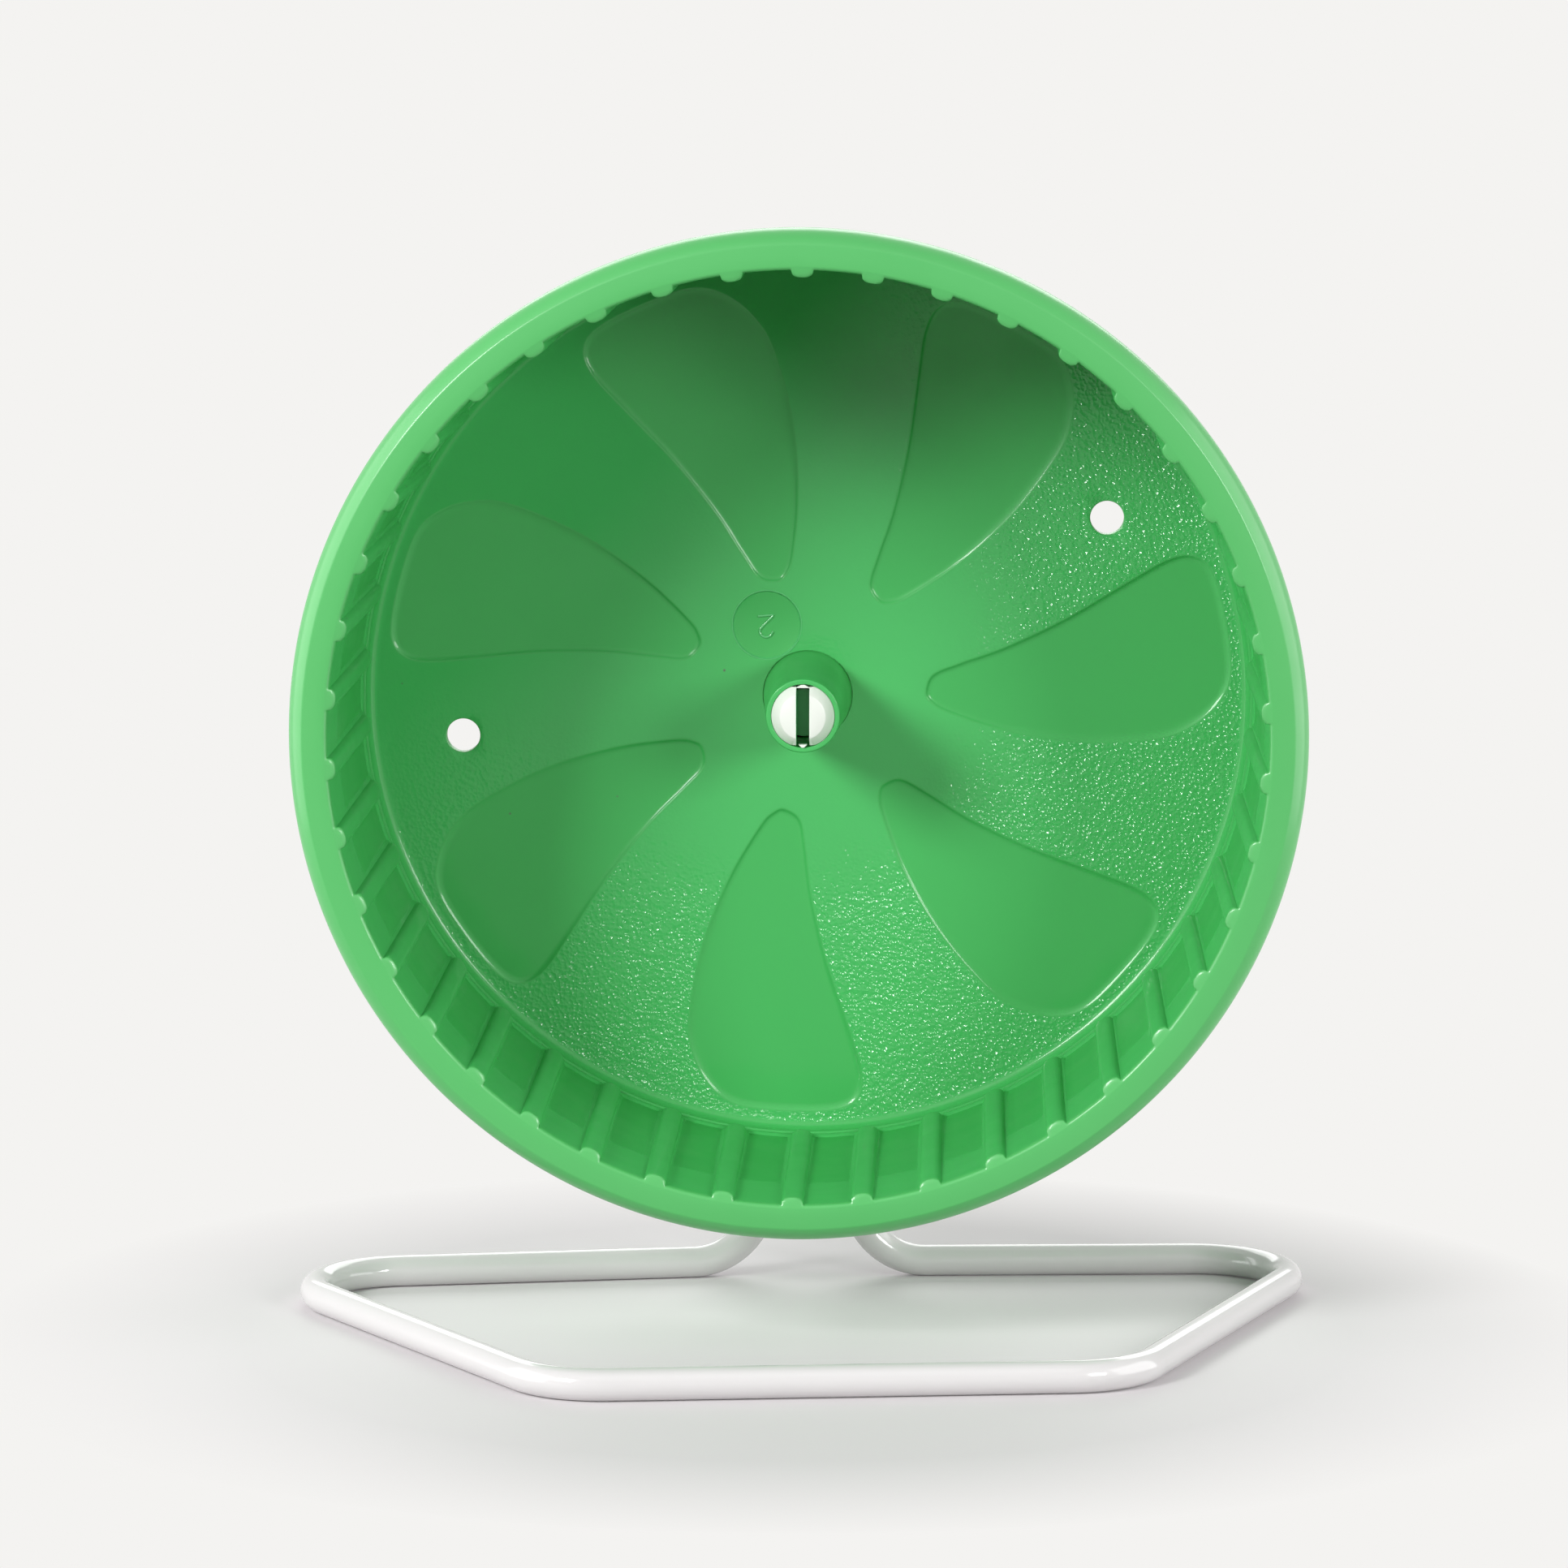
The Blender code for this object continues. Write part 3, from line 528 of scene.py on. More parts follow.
def bladeOutline(steps):
    # Outline of the blade that hangs straight down, anticlockwise, split at its four corners:
    # round the outer end, up the right side, round the tip and down the left side.
    b = blade
    scale = np.array([b["width"], -(b["outer"] - b["inner"])])
    shift = np.array([0, -b["inner"]])
    curve = smoothLine(np.array(b["shares"]) * scale + shift, 24, True)[::-1]
    corners = [int(np.argmin(np.linalg.norm(curve - (np.array(c) * scale + shift), axis=1)))
               for c in b["cornerShares"]]
    points = []
    for start, end, count in zip(corners, corners[1:] + corners[:1], steps):
        run = np.roll(curve, -start, axis=0)[:(end - start) % len(curve) + 1]
        points.append(resample(run, count)[:-1])
    return np.concatenate(points)


def sectorBorder(radius, steps):
    # Border of one blade's sector in the same four stretches: the outer circle, the right side in,
    # the inner circle and the left side out.
    perSector = len(drumAngles) // blade["count"]
    outer = drumAngles[:perSector + 1]
    inner = np.linspace(outer[-1], outer[0], steps[2] + 1)
    outerWay, innerWay = (np.stack([np.cos(turn), np.sin(turn)], axis=-1) for turn in (outer, inner))
    reach = np.linspace(radius, drum["innerRadius"], steps[1] + 1)[:, None]
    return np.concatenate([
        outerWay[:-1] * radius, (outerWay[-1] * reach)[:-1],
        innerWay[:-1] * drum["innerRadius"], (outerWay[0] * reach[::-1])[:-1],
    ])


def bladeSlope(outline, normals):
    # How far the recess's side draws in: least at the tip and on the right, up to nearly twice as
    # far on the left, where it is a long soft slope, and less again at the outer end.
    b = blade
    along = (-outline[:, 1] - b["inner"]) / (b["outer"] - b["inner"])
    right = smoothStep(-normals[:, 0], *b["rightRange"])
    cap = smoothStep(along, *b["capRange"])
    extra = (b["gain"] - b["capLoss"] * cap) * (1 - b["rightLoss"] * right)
    return b["sideWidth"] + extra * smoothStep(along, *b["gainRange"])


def bladeLines(sideSteps, radius):
    # The blade's outline, its inward normals and its sector's border, point for point.
    steps = (blade["capSteps"], sideSteps, blade["tipSteps"], sideSteps)
    outline = bladeOutline(steps)
    return outline, outlineNormals(outline), sectorBorder(radius, steps)


def backWall(verts, faces, flat):
    # Both faces of the back wall, sector by sector. Rows follow the blade's outline: outside it
    # they spread to the sector's border, inside it they step down the recess's side to its floor.
    b = blade
    y, back = drum["backY"], drum["backFaceY"]
    outline, normals, border = bladeLines(b["sideSteps"], flat)
    slope = bladeSlope(outline, normals)
    edge = outline - normals * b["edgeOut"]
    frontRows = [lift(edge + (border - edge) * share, y) for share in b["floorShares"]]
    frontRows += [lift(outline + normals * draw, y + fall) for draw, fall in b["edgeRows"]]
    draw, start = b["sideStart"]
    for share in b["sideShares"]:
        fall = 1 - (1 - min(share, 1.0)) ** b["sidePower"]
        deep = start + (b["depth"] - start) * fall
        frontRows.append(lift(outline + normals * (draw + slope * share)[:, None], y + deep))
    outline, normals, border = bladeLines(b["rearSideSteps"], flat)
    foot = outline - normals * b["padFoot"]
    rearRows = [lift(foot + (border - foot) * share, back) for share in b["rearShares"]]
    rearRows += [lift(outline - normals * out, back + rise) for out, rise in b["padRows"]]
    grained = []
    for index in range(b["count"]):
        c, s = math.cos(bladePitch * index), math.sin(bladePitch * index)
        spin = np.array([[c, 0, s], [0, 1, 0], [-s, 0, c]])
        for rows, front in ((np.stack(frontRows), True), (np.stack(rearRows), False)):
            before = len(faces)
            ids = addGrid(verts, faces, rows @ spin)
            if front:
                middle = before + (len(b["floorShares"]) - 1) * rows.shape[1]
                grained.append((before, middle, len(faces) + 1))
            faces.append(ids[-1, :-1].tolist())
    turns = np.linspace(drumAngles[0], drumAngles[0] + bladePitch, b["tipSteps"] + 1)[:-1]
    turns = (turns[None] + bladePitch * np.arange(b["count"])[:, None]).ravel()
    addGrid(verts, faces, turnRows([(drum["innerRadius"], y), (drum["innerRadius"], back)], turns))
    return grained


addLeatherGrain(greenGrainSheen)

hub = {
    "foot": 6.35, "footLap": 0.4, "tip": 5.2, "tipY": 23.5, "tipEdge": 0.22, "mouth": 4.47,
    "mouthEdge": 0.1, "mouthFloor": 27.6, "bore": 3.6, "boreMiddle": 36.0, "boreEdge": 0.2,
    "bossRadius": 7.0, "bossBack": 49.0, "bossEdge": 0.3, "rearLap": 0.5, "steps": 144,
    "grooveRows": ((0.59, -1), (0.09, 0), (0.05, 0.14)),  # round its foot, as (out, deep)
}
hole = {"radius": 2.4, "circle": 49.7, "angles": (31.0, 187.0), "steps": 64, "chamfer": 0.15}
insert = {
    "reach": 11.6, "angle": 120.1, "radius": 4.94, "depth": 0.2, "steps": 96,
    "rows": ((0.02, -1), (0, 0), (-0.06, 0.12), (-0.25, 0.2)),  # its sunk disc, as (out, deep)
    "ridge": ((-0.28, -0.25), (-0.1, -0.02), (-0.03, 0.06), (0.05, 0.06), (0.11, 0.01),
              (0.12, -0.25)),  # round it, as (out, rise)
    "ridgeSteps": 128,
}


def spot(reach, angle):
    # Place on the floor at a distance from the axle and an angle in degrees.
    turn = math.radians(angle)
    return reach * np.array([math.cos(turn), math.sin(turn)])


insertCentre = spot(insert["reach"], insert["angle"])


def floorCutter(centre, radius, rows, steps, material):
    # Round tool for the back wall. Its rows are (out, deep): how far outside the radius, and how
    # far behind the floor.
    return loft('cutter', [lift(circle(centre, radius + out, steps), drum["backY"] + deep)
                           for out, deep in rows], material)


def makeDrum():
    # One welded shell of the turned outside and the back wall, with its holes and grooves cut.
    verts, faces = [], []
    flat, polished, smooth, filleted = drumShell(verts, faces)
    grained = backWall(verts, faces, flat)
    glossy, grainy, ground, plain = range(4)
    kinds = np.full(len(faces), glossy, dtype=np.int32)
    kinds[smooth] = plain
    kinds[filleted] = grainy
    kinds[polished] = ground
    for start, middle, end in grained:
        kinds[start:middle] = grainy
        kinds[middle:end] = plain
    shell = makePiece('drum_shell', verts, faces, (greenGloss, greenGrainSheen, greenPolishShade, greenSmooth),
                      kinds, drum["weld"] * mm)
    edge, deep = hole["chamfer"], drum["backFaceY"] - drum["backY"]
    holeRows = ((edge + 1, -1), (edge, 0), (edge * 0.35, edge * 0.35), (0, edge),
                (0, deep - edge), (edge, deep), (edge + 1, deep + 1))
    cutters = [floorCutter(spot(hole["circle"], angle), hole["radius"], holeRows, hole["steps"],
                           greenGloss) for angle in hole["angles"]]
    for centre, radius, rows in ((insertCentre, insert["radius"], insert["rows"]),
                                 ((0, 0), hub["foot"], hub["grooveRows"])):
        cutters.append(floorCutter(centre, radius, rows, insert["steps"], greenSmooth))
    baked(shell, cutters, math.radians(drum["crispAngle"]))
    return shell


drumShellPiece = makeDrum()
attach(drumShellPiece, "wheel")
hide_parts("wheel_drum")
print('drum shell done')


# Hub: the long tapered tube round the pin, with its mouth, bore and rear boss

def makeHub():
    # Turned profile: outside from the foot to the tip, in over the mouth to the bore, and out at
    # the back over the boss.
    h = hub
    front, back = drum["backY"], drum["backFaceY"]
    tip, mouth, bore, boss = h["tipEdge"], h["mouthEdge"], h["boreEdge"], h["bossEdge"]
    profile = [(h["foot"], front + h["footLap"])]
    profile += arc((h["tip"] - tip, h["tipY"] + tip), tip, 0, -90, 5)
    profile += arc((h["mouth"] + mouth, h["tipY"] + mouth), mouth, -90, -180, 3)
    profile += [(h["mouth"], h["mouthFloor"] - bore), (h["mouth"] - bore, h["mouthFloor"]),
                (h["bore"] + bore, h["mouthFloor"]), (h["bore"], h["mouthFloor"] + bore),
                (h["bore"], h["boreMiddle"]), (h["bore"], h["bossBack"] - bore),
                (h["bore"] + bore, h["bossBack"])]
    profile += arc((h["bossRadius"] - boss, h["bossBack"] - boss), boss, 90, 0, 4)
    profile += arc((h["bossRadius"] + boss, back - boss), boss, 180, 90, 4)
    profile += [(h["bossRadius"] + boss, back - h["rearLap"]), (h["foot"], back - h["rearLap"])]
    return turnedPiece('hub_tube', profile, h["steps"], greenSmooth)


hubTube = makeHub()
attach(hubTube, "wheel")

# The cavity's plain number stands on the round insert's mark. It reads upside down at rest.
numberStroke = {
    "points": ((-1.10, 1.39), (0.0, 1.50), (1.02, 1.56), (0.98, 1.40), (0.36, 0.76),
               (-0.30, 0.10), (-0.71, -0.34), (-0.86, -0.84), (-0.60, -1.36), (0.05, -1.63),
               (0.68, -1.37), (1.05, -0.75)),
    "width": 0.17, "height": 0.22, "shift": (-0.17, -0.16),
    # Its section: shares of the width across and of the height up.
    "section": ((-1, -0.5), (-1, 0.2), (-0.85, 0.7), (-0.45, 0.95), (0, 1.0), (0.45, 0.95),
                (0.85, 0.7), (1, 0.2), (1, -0.5)),
}


def makeNumber():
    # The section carried along the stroke's curve, square to it.
    n = numberStroke
    line = resample(smoothLine(n["points"], 8, False), 48) + (insertCentre + np.array(n["shift"]))
    ahead = np.gradient(line, axis=0)
    ahead /= np.linalg.norm(ahead, axis=1)[:, None]
    side = np.column_stack([-ahead[:, 1], ahead[:, 0]])
    y = drum["backY"] + insert["depth"]
    rows = [lift(line + side * n["width"] * across, y - n["height"] * rise)
            for across, rise in n["section"]]
    return loft('cavity_number', np.stack(rows, axis=1), greenCrestHighlight)


cavityNumber = makeNumber()
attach(cavityNumber, "wheel")


def makeInsertRing():
    # Fine ridge that the joint round the mould's insert leaves on the plastic.
    rows = [lift(circle(insertCentre, insert["radius"] + out, insert["ridgeSteps"]),
                 drum["backY"] - rise) for out, rise in insert["ridge"]]
    return loft('insert_ring', rows, greenCrestHighlight, True)


insertRing = makeInsertRing()
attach(insertRing, "wheel")
print('hub done')


# Axle pin: split, barbed front end in the hub's mouth, shank, and head behind the holder

pin = {
    # Radius and y from the end back: the end, the barb, its shoulder and the shank, edges broken.
    "profile": ((0, 22.3), (3.13, 22.3), (3.25, 22.38), (4.37, 23.5), (4.45, 23.72), (4.45, 26.6),
                (4.35, 26.75), (3.4, 27.25), (3.3, 27.4), (3.3, 40.0), (3.3, 59.4), (3.4, 59.5)),
    "headFront": 59.5, "headRadius": 6.0, "headHeight": 2.0, "headEdge": 0.2, "headCrown": 0.6,
    "crownFlat": 2.0, "steps": 96, "bevel": 0.09,
    # The split and the two flats: half sizes, and from where to where each cut runs.
    "slotWidth": 1.85, "slotBack": 27.3, "flat": 4.1, "flatBack": 27.6, "cutFront": 20.3,
    "cutReach": 8.0,
}
# Thin white slivers at the ends of the pin's split: a painted highlight for the bright V of light seen
# there.
sliver = {
    "front": 23.2, "back": 24.7, "topShare": 0.25,
    # Half width at the foot, then the heights of foot and top.
    "sizes": {'highlight_upper': (1.0, 4.0, 4.42), 'highlight_lower': (0.6, -4.0, -4.42)},
}


def makePin():
    # Turned solid, split along its end, with a flat above and below the barb.
    p = pin
    edge, crown = p["headEdge"], p["headCrown"]
    back = p["headFront"] + p["headHeight"]
    profile = list(p["profile"])
    profile += arc((p["headRadius"] - edge, p["headFront"] + edge), edge, -90, 0, 3)
    profile += arc((p["headRadius"] - crown, back - crown), crown, 0, 90, 5)
    profile += [(p["crownFlat"], back), (0, back)]
    piece = turnedPiece('snap_pin', profile, p["steps"], pinWhite)
    half, tall = p["slotWidth"] / 2, p["cutReach"]
    slot = [(-half, -tall), (half, -tall), (half, tall), (-half, tall)]
    # The split's walls take the painted green light.
    tools = [prism('cutter', slot, p["cutFront"], p["slotBack"], splitPaintedLight)]
    for low, high in ((-tall, -p["flat"]), (p["flat"], tall)):
        box = [(-tall, low), (tall, low), (tall, high), (-tall, high)]
        tools.append(prism('cutter', box, p["cutFront"], p["flatBack"], pinWhite))
    baked(piece, tools)
    softened(piece, p["bevel"])
    return piece


def makeHighlightSliver(name, half, foot, top):
    # Thin white sliver between the prongs' flats and the hub's mouth, at one end of the slot: a
    # painted highlight for the bright V of light seen there.
    narrow = half * sliver["topShare"]
    outline = [(-half, foot), (half, foot), (narrow, top), (-narrow, top)]
    if foot < 0:
        outline = outline[::-1]
    return prism(name, outline, sliver["front"], sliver["back"], pinWhite)


for sliverName, sizes in sliver["sizes"].items():
    highlightSliver = makeHighlightSliver(sliverName, *sizes)
    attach(highlightSliver, "stand")

snapPin = makePin()
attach(snapPin, "stand")
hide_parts("axle_pin")
print('pin done')


# Thrust washer between the turning hub and the holder

washer = {"inner": 3.6, "outer": 7.0, "front": 49.3, "back": 50.1, "edge": 0.15, "steps": 96}


def makeWasher():
    # Turned ring, its section a rectangle with rounded corners.
    w = washer
    e = w["edge"]
    inner, outer, front, back = w["inner"] + e, w["outer"] - e, w["front"] + e, w["back"] - e
    profile = []
    for corner, start in (((inner, front), 180), ((outer, front), -90), ((outer, back), 0),
                          ((inner, back), 90)):
        profile += arc(corner, e, start, start + 90, 2)
    return turnedPiece('spacer_washer', profile, w["steps"], holderWhite)


spacerWasher = makeWasher()
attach(spacerWasher, "stand")
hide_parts("thrust_washer")
print('washer done')


# Wire stand: one coated wire from one upright down, round the base loop and up the other

wire = {
    "radius": 2.25, "y": 55.0, "halfUpright": 6.9, "endZ": 15.0, "baseZ": -84.25, "turn": 6.3,
    "shift": -2.1, "rearHalf": 77.3, "rearSweep": 4.2, "frontHalf": 39.6, "depth": 79.56,
    "loopBend": 13.05, "uprightBend": 10.0, "bendSteps": 24, "sides": 40, "endEdge": 0.4,
}


def loopPoint(across, ahead):
    # Place in the base loop, which is turned and shifted a little against the drum.
    turn = math.radians(wire["turn"])
    x = math.cos(turn) * (across + wire["shift"]) + math.sin(turn) * ahead
    y = math.sin(turn) * (across + wire["shift"]) - math.cos(turn) * ahead
    return np.array([x, wire["y"] + y, wire["baseZ"]])


def wirePath():
    # Centre line through the corners, each bend an arc that starts and ends on its two straights.
    w = wire
    foot, top = (w["y"], w["baseZ"]), (w["y"], w["endZ"])
    corners = [np.array([-w["halfUpright"], *top]), np.array([-w["halfUpright"], *foot]),
               loopPoint(-w["rearHalf"], w["rearSweep"]), loopPoint(-w["frontHalf"], w["depth"]),
               loopPoint(w["frontHalf"], w["depth"]), loopPoint(w["rearHalf"], w["rearSweep"]),
               np.array([w["halfUpright"], *foot]), np.array([w["halfUpright"], *top])]
    radii = [w["uprightBend"]] + [w["loopBend"]] * 4 + [w["uprightBend"]]
    points = [corners[0]]
    for radius, before, corner, after in zip(radii, corners, corners[1:], corners[2:]):
        into = (corner - before) / np.linalg.norm(corner - before)
        away = (after - corner) / np.linalg.norm(after - corner)
        bend = math.acos(np.clip(into @ away, -1, 1))
        inward = (away - into) / np.linalg.norm(away - into)
        centre = corner + inward * radius / math.cos(bend / 2)
        start = corner - into * radius * math.tan(bend / 2) - centre
        axis = np.cross(into, away) / np.linalg.norm(np.cross(into, away))
        for angle in np.linspace(0, bend, w["bendSteps"] + 1):
            points.append(centre + start * math.cos(angle) + np.cross(axis, start) * math.sin(angle))
    points.append(corners[-1])
    return np.array(points)


def makeWire():
    # A circle carried along the path without twist: each ring keeps the side of the last one, made
    # square to the new heading. A quarter circle breaks the edge of each cut end.
    w = wire
    path = wirePath()
    first, last = ((b - a) / np.linalg.norm(b - a) for a, b in (path[:2], path[-2:]))
    turns = np.radians((0, 45, 90))
    inward = (w["endEdge"] * (1 - np.cos(turns)))[:, None]
    endSizes = w["radius"] - w["endEdge"] * (1 - np.sin(turns))
    centres = np.concatenate([path[0] + first * inward, path[1:-1], path[-1] - last * inward[::-1]])
    sizes = np.concatenate([endSizes, np.full(len(path) - 2, w["radius"]), endSizes[::-1]])
    headings = np.gradient(path, axis=0)
    headings[0], headings[-1] = first, last
    headings /= np.linalg.norm(headings, axis=1)[:, None]
    headings = np.concatenate([[first] * 2, headings, [last] * 2])
    side = np.cross(headings[0], [0, 1, 0])
    turn = np.arange(w["sides"]) * 2 * math.pi / w["sides"]
    rows = []
    for centre, heading, size in zip(centres, headings, sizes):
        side = side - heading * (side @ heading)
        side /= np.linalg.norm(side)
        up = np.cross(heading, side)
        rows.append(centre + size * (np.outer(np.cos(turn), side) + np.outer(np.sin(turn), up)))
    return loft('coated_wire', rows, wireCoat)


coatedWire = makeWire()
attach(coatedWire, "stand")
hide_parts("wire_stand")
print('wire done')


# Holder: two moulded halves clamped on the uprights by two screws

holder = {
    "width": 26.0, "height": 40.0, "corner": 6.0, "cornerSteps": 14, "edge": 0.8, "innerEdge": 0.12,
    "front": 50.4, "split": 55.0, "gap": 0.3, "back": 59.2, "cutFront": 48.0, "cutBack": 62.0,
    "bore": 3.6, "groove": 2.55, "grooveFoot": -24.0, "grooveLap": 0.3, "screwHole": 1.7,
    "screwRise": 12.5, "screwFloor": 51.7, "bevel": 0.15,
}
screw = {
    "radius": 1.4, "tipY": 52.0, "cone": 0.8, "headY": 59.5, "head": 2.8, "height": 1.9,
    "headEdge": 0.15, "crown": 0.85, "domeStart": 12, "steps": 64,
    # Cross recess: half length and half width of an arm, scaled at its floor and over its mouth.
    "recess": 0.9, "recessHalf": 1.45, "recessWide": 0.36, "recessFloor": 0.55,
    "recessMouth": 1.25, "recessLap": 0.5,
}


def roundedRectangle(width, height, radius, steps):
    # Outline of four corner arcs joined by straight sides, anticlockwise from the right.
    points = []
    for side, rise, start in ((1, 1, 0), (-1, 1, 90), (-1, -1, 180), (1, -1, 270)):
        centre = (side * (width / 2 - radius), rise * (height / 2 - radius))
        points += arc(centre, radius, start, start + 90, steps)
    return np.array(points)


def makeHalf(name, outerY, innerY):
    # Plate whose outline draws in over a quarter circle at the outer face and a little at the
    # split, with the pin's bore, a groove for each upright and the screws' holes cut.
    h = holder
    outline = roundedRectangle(h["width"], h["height"], h["corner"], h["cornerSteps"])
    normals = outlineNormals(outline)
    toward = 1 if innerY > outerY else -1
    rows = [lift(outline + normals * (h["edge"] * (1 - math.sin(turn))),
                 outerY + toward * h["edge"] * (1 - math.cos(turn)))
            for turn in np.radians(np.linspace(0, 90, 7))]
    rows.append(lift(outline, innerY - toward * h["innerEdge"]))
    rows.append(lift(outline + normals * h["innerEdge"], innerY))
    piece = loft(name, rows, holderWhite)
    tools = [prism('cutter', circle((0, 0), h["bore"], 64), h["cutFront"], h["cutBack"],
                   holderWhite)]
    for side in (-1, 1):
        ring = circle((side * wire["halfUpright"], h["split"]), h["groove"], 48)
        tools.append(prism('cutter', ring, h["grooveFoot"], wire["endZ"] + h["grooveLap"],
                           holderWhite, True))
        ring = circle((0, side * h["screwRise"]), h["screwHole"], 32)
        tools.append(prism('cutter', ring, h["screwFloor"], h["cutBack"], holderWhite))
    baked(piece, tools)
    softened(piece, h["bevel"])
    return piece


for halfName, cadNode, outerY, side in (('holder_front', 'bracket_front', holder["front"], -1),
                                        ('holder_back', 'bracket_back', holder["back"], 1)):
    half = makeHalf(halfName, outerY, holder["split"] + side * holder["gap"] / 2)
    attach(half, "stand")
    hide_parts(cadNode)
print('holder done')


def makeScrew(name, rise):
    # Pan-head screw: a plain shank with a coned tip and a head domed by a quarter ellipse, with a
    # cross recess of two crossed tapers.
    s = screw
    back = s["headY"] + s["height"]
    domeFoot = back - s["crown"]
    profile = [(0, s["tipY"]), (s["radius"] - s["cone"], s["tipY"]),
               (s["radius"], s["tipY"] + s["cone"]), (s["radius"], s["headY"]),
               (s["head"] - s["headEdge"], s["headY"]), (s["head"], s["headY"] + s["headEdge"]),
               (s["head"], domeFoot)]
    profile += [(s["head"] * math.cos(turn), domeFoot + s["crown"] * math.sin(turn))
                for turn in np.radians(np.linspace(s["domeStart"], 90, 7))[:-1]]
    profile += [(0, back)]
    piece = turnedPiece(name, profile, s["steps"], screwZinc, rise)
    wide, reach = s["recessWide"], s["recessHalf"]
    tools = []
    for a, b in ((wide, reach), (reach, wide)):
        mouth = np.array([(-a, -b), (a, -b), (a, b), (-a, b)], dtype=float)
        rows = [lift(mouth * s["recessFloor"] + [0, rise], back - s["recess"]),
                lift(mouth * s["recessMouth"] + [0, rise], back + s["recessLap"])]
        tools.append(loft('cutter', rows, screwZinc))
    baked(piece, tools)
    return piece


for screwName, cadNode, side in (('screw_upper', 'clamp_screw_upper', 1),
                                 ('screw_lower', 'clamp_screw_lower', -1)):
    panScrew = makeScrew(screwName, side * holder["screwRise"])
    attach(panScrew, "stand")
    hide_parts(cadNode)
print('screws done')


# Background: the even tone of the overexposed studio, seen by the camera and in reflections

studioTone = 'f4f3f1'


def seenRays(tree):
    # 1 for rays that show the background: the camera's own, and those that metal or glass sends on.
    path = node(tree, 'LightPath').outputs
    total = path['Is Camera Ray']
    for kind in ('Is Glossy Ray', 'Is Transmission Ray'):
        total = node(tree, 'Math', {0: total, 1: path[kind]}, operation='MAXIMUM').outputs['Value']
    return total


# Floor: a flat pale board that fades into that tone

board = {
    "half": 0.14, "steps": 8, "colour": 'd8d4d6',  # metres; a pale grey card, tinted a little pink against the drum's green light: painted light
    "fade": ((0.078, 0.05), (0.118, 1.0)),  # metres from its middle, then share of the tone
    "fibreScale": 1500.0, "fibreDepth": 0.0002,  # paper fibres, drawn 0.7 mm across
}


def makeBoard():
    # Mat pale card under the object, a flat grid. It takes the object's shadow, and away from the
    # object it fades into the background's tone, so that its edge never shows.
    line = np.linspace(-board["half"], board["half"], board["steps"] + 1)
    verts, faces = [], []
    x, y = np.meshgrid(line, line)
    addGrid(verts, faces, np.stack([x, y, np.zeros_like(x)], axis=-1), False)
    mesh = bpy.data.meshes.new('board')
    mesh.from_pydata(verts[0].tolist(), [], faces)
    material = newMaterial('paleBoard', board["colour"], 0.6, Specular_IOR_Level=0.2)
    tree, shader = treeAndShader(material)
    mesh.materials.append(material)
    place = node(tree, 'TexCoord').outputs['Object']
    fibre = node(tree, 'TexNoise', {'Vector': place}, Scale=board["fibreScale"], Detail=2.0)
    addBump(tree, shader, fibre.outputs['Fac'], 0.05, board["fibreDepth"])
    reach = node(tree, 'VectorMath', {0: place}, operation='LENGTH')
    share = ramp(tree, reach.outputs['Value'], *board["fade"])
    glow = node(tree, 'Emission', Strength=1.0, Color=linear(studioTone))
    mix = node(tree, 'MixShader', {0: product(tree, share, seenRays(tree)),
                                   1: shader.outputs['BSDF'], 2: glow.outputs['Emission']})
    tree.links.new(mix.outputs['Shader'], tree.nodes['Material Output'].inputs['Surface'])
    piece = inScene('board', mesh)


makeBoard()
print('floor done')


# Light: two soft boxes in front, a large weak one over them, a panel on each side and one behind

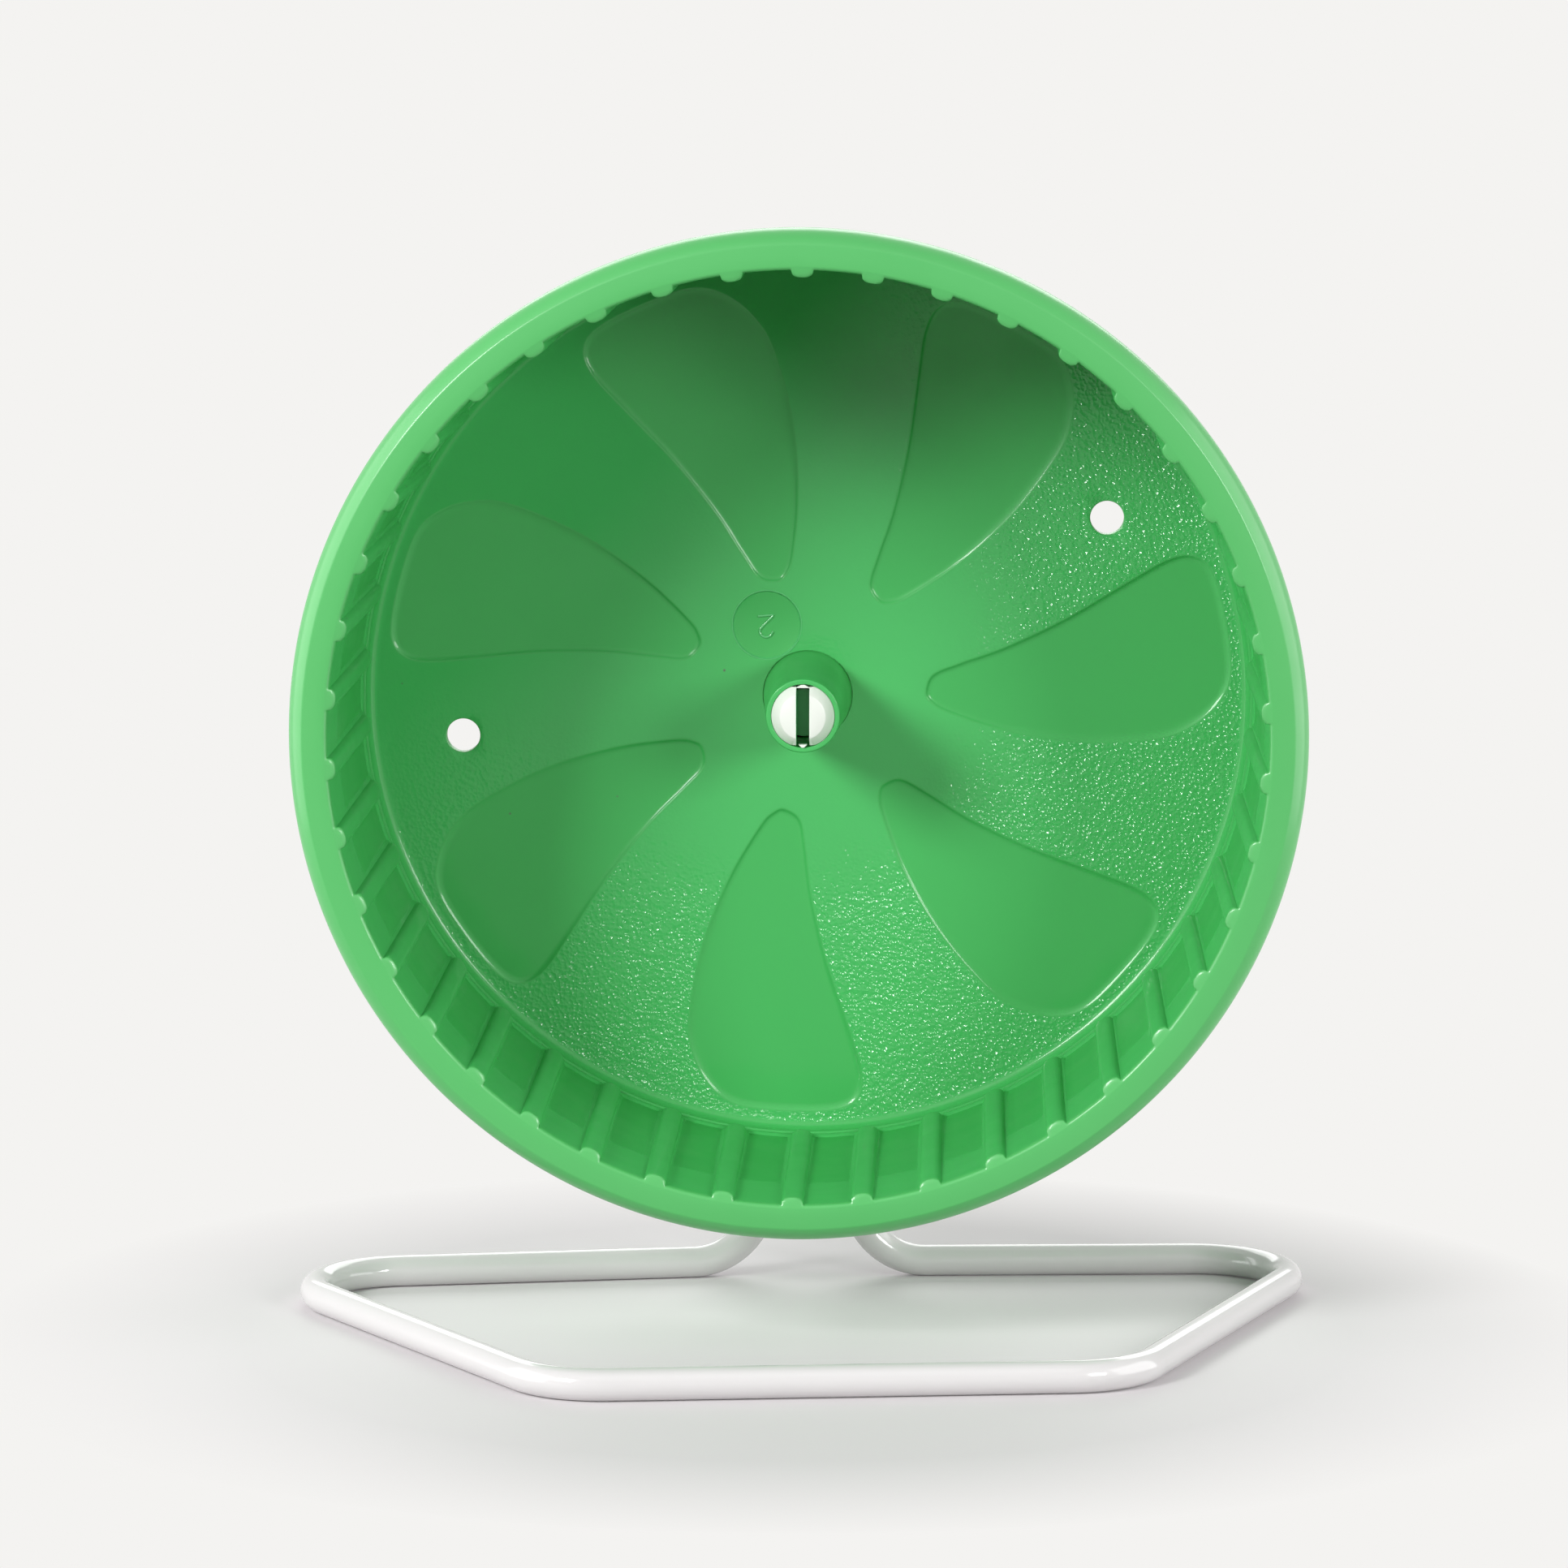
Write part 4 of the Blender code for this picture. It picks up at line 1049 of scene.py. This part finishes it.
# Azimuth from the camera's side to the right and elevation in degrees, distance from the axle,
# width and height in metres, power in watts.
lamps = {
    'leftBox': (-42, 26, 1.0, 0.30, 0.27, 8.3),
    'rightBox': (40, 15, 1.0, 0.28, 0.28, 4.1),
    'upperBox': (0, 56, 1.0, 0.7, 0.6, 0.7),
    'leftPanel': (-86, 10, 0.6, 0.6, 0.6, 2.8),
    'rightPanel': (86, 10, 0.6, 0.6, 0.6, 2.8),
    'rearBox': (180, 30, 0.9, 0.8, 0.5, 3.4),
}


def softBox(name, azimuth, elevation, distance, width, height, power):
    # Area light that faces the axle.
    turn, rise = math.radians(azimuth), math.radians(elevation)
    way = Vector((math.sin(turn) * math.cos(rise), -math.cos(turn) * math.cos(rise), math.sin(rise)))
    data = bpy.data.lights.new(name, 'AREA')
    data.shape = 'RECTANGLE'
    data.size, data.size_y = width, height
    data.energy = power
    lamp = inScene(name, data)
    lamp.location = Vector(axle) + way * distance
    lamp.rotation_euler = way.to_track_quat('Z', 'Y').to_euler()


for lampName, settings in lamps.items():
    softBox(lampName, *settings)


def makeSurround():
    # Dim soft light from all round, in place of which the camera and reflections see the tone.
    world = bpy.data.worlds.new('surround')
    bpy.context.scene.world = world
    world.use_nodes = True
    tree = world.node_tree
    tree.nodes.clear()
    seen = node(tree, 'Background', Color=linear(studioTone))
    soft = node(tree, 'Background', Color=(1, 1, 1, 1), Strength=0.02)
    mix = node(tree, 'MixShader', {0: seenRays(tree), 1: soft.outputs['Background'],
                                   2: seen.outputs['Background']})
    node(tree, 'OutputWorld', {'Surface': mix.outputs['Shader']})


makeSurround()
print('light done')


# Camera at the photograph's place, fitted to the rim, the back wall and the wire base

camera = {"place": (0.032811, -1.057494, 0.2323), "pitch": 8.296, "yaw": 1.884, "lens": 176.38}
cameraData = bpy.data.cameras.new('camera')
cameraData.lens = camera["lens"]
cameraData.sensor_width = 36.0
cameraObject = inScene('camera', cameraData)
cameraObject.location = camera["place"]
cameraObject.rotation_euler = (math.radians(90 - camera["pitch"]), 0, math.radians(camera["yaw"]))
bpy.context.scene.camera = cameraObject
bpy.context.scene.view_settings.view_transform = 'Standard'
print('camera done')
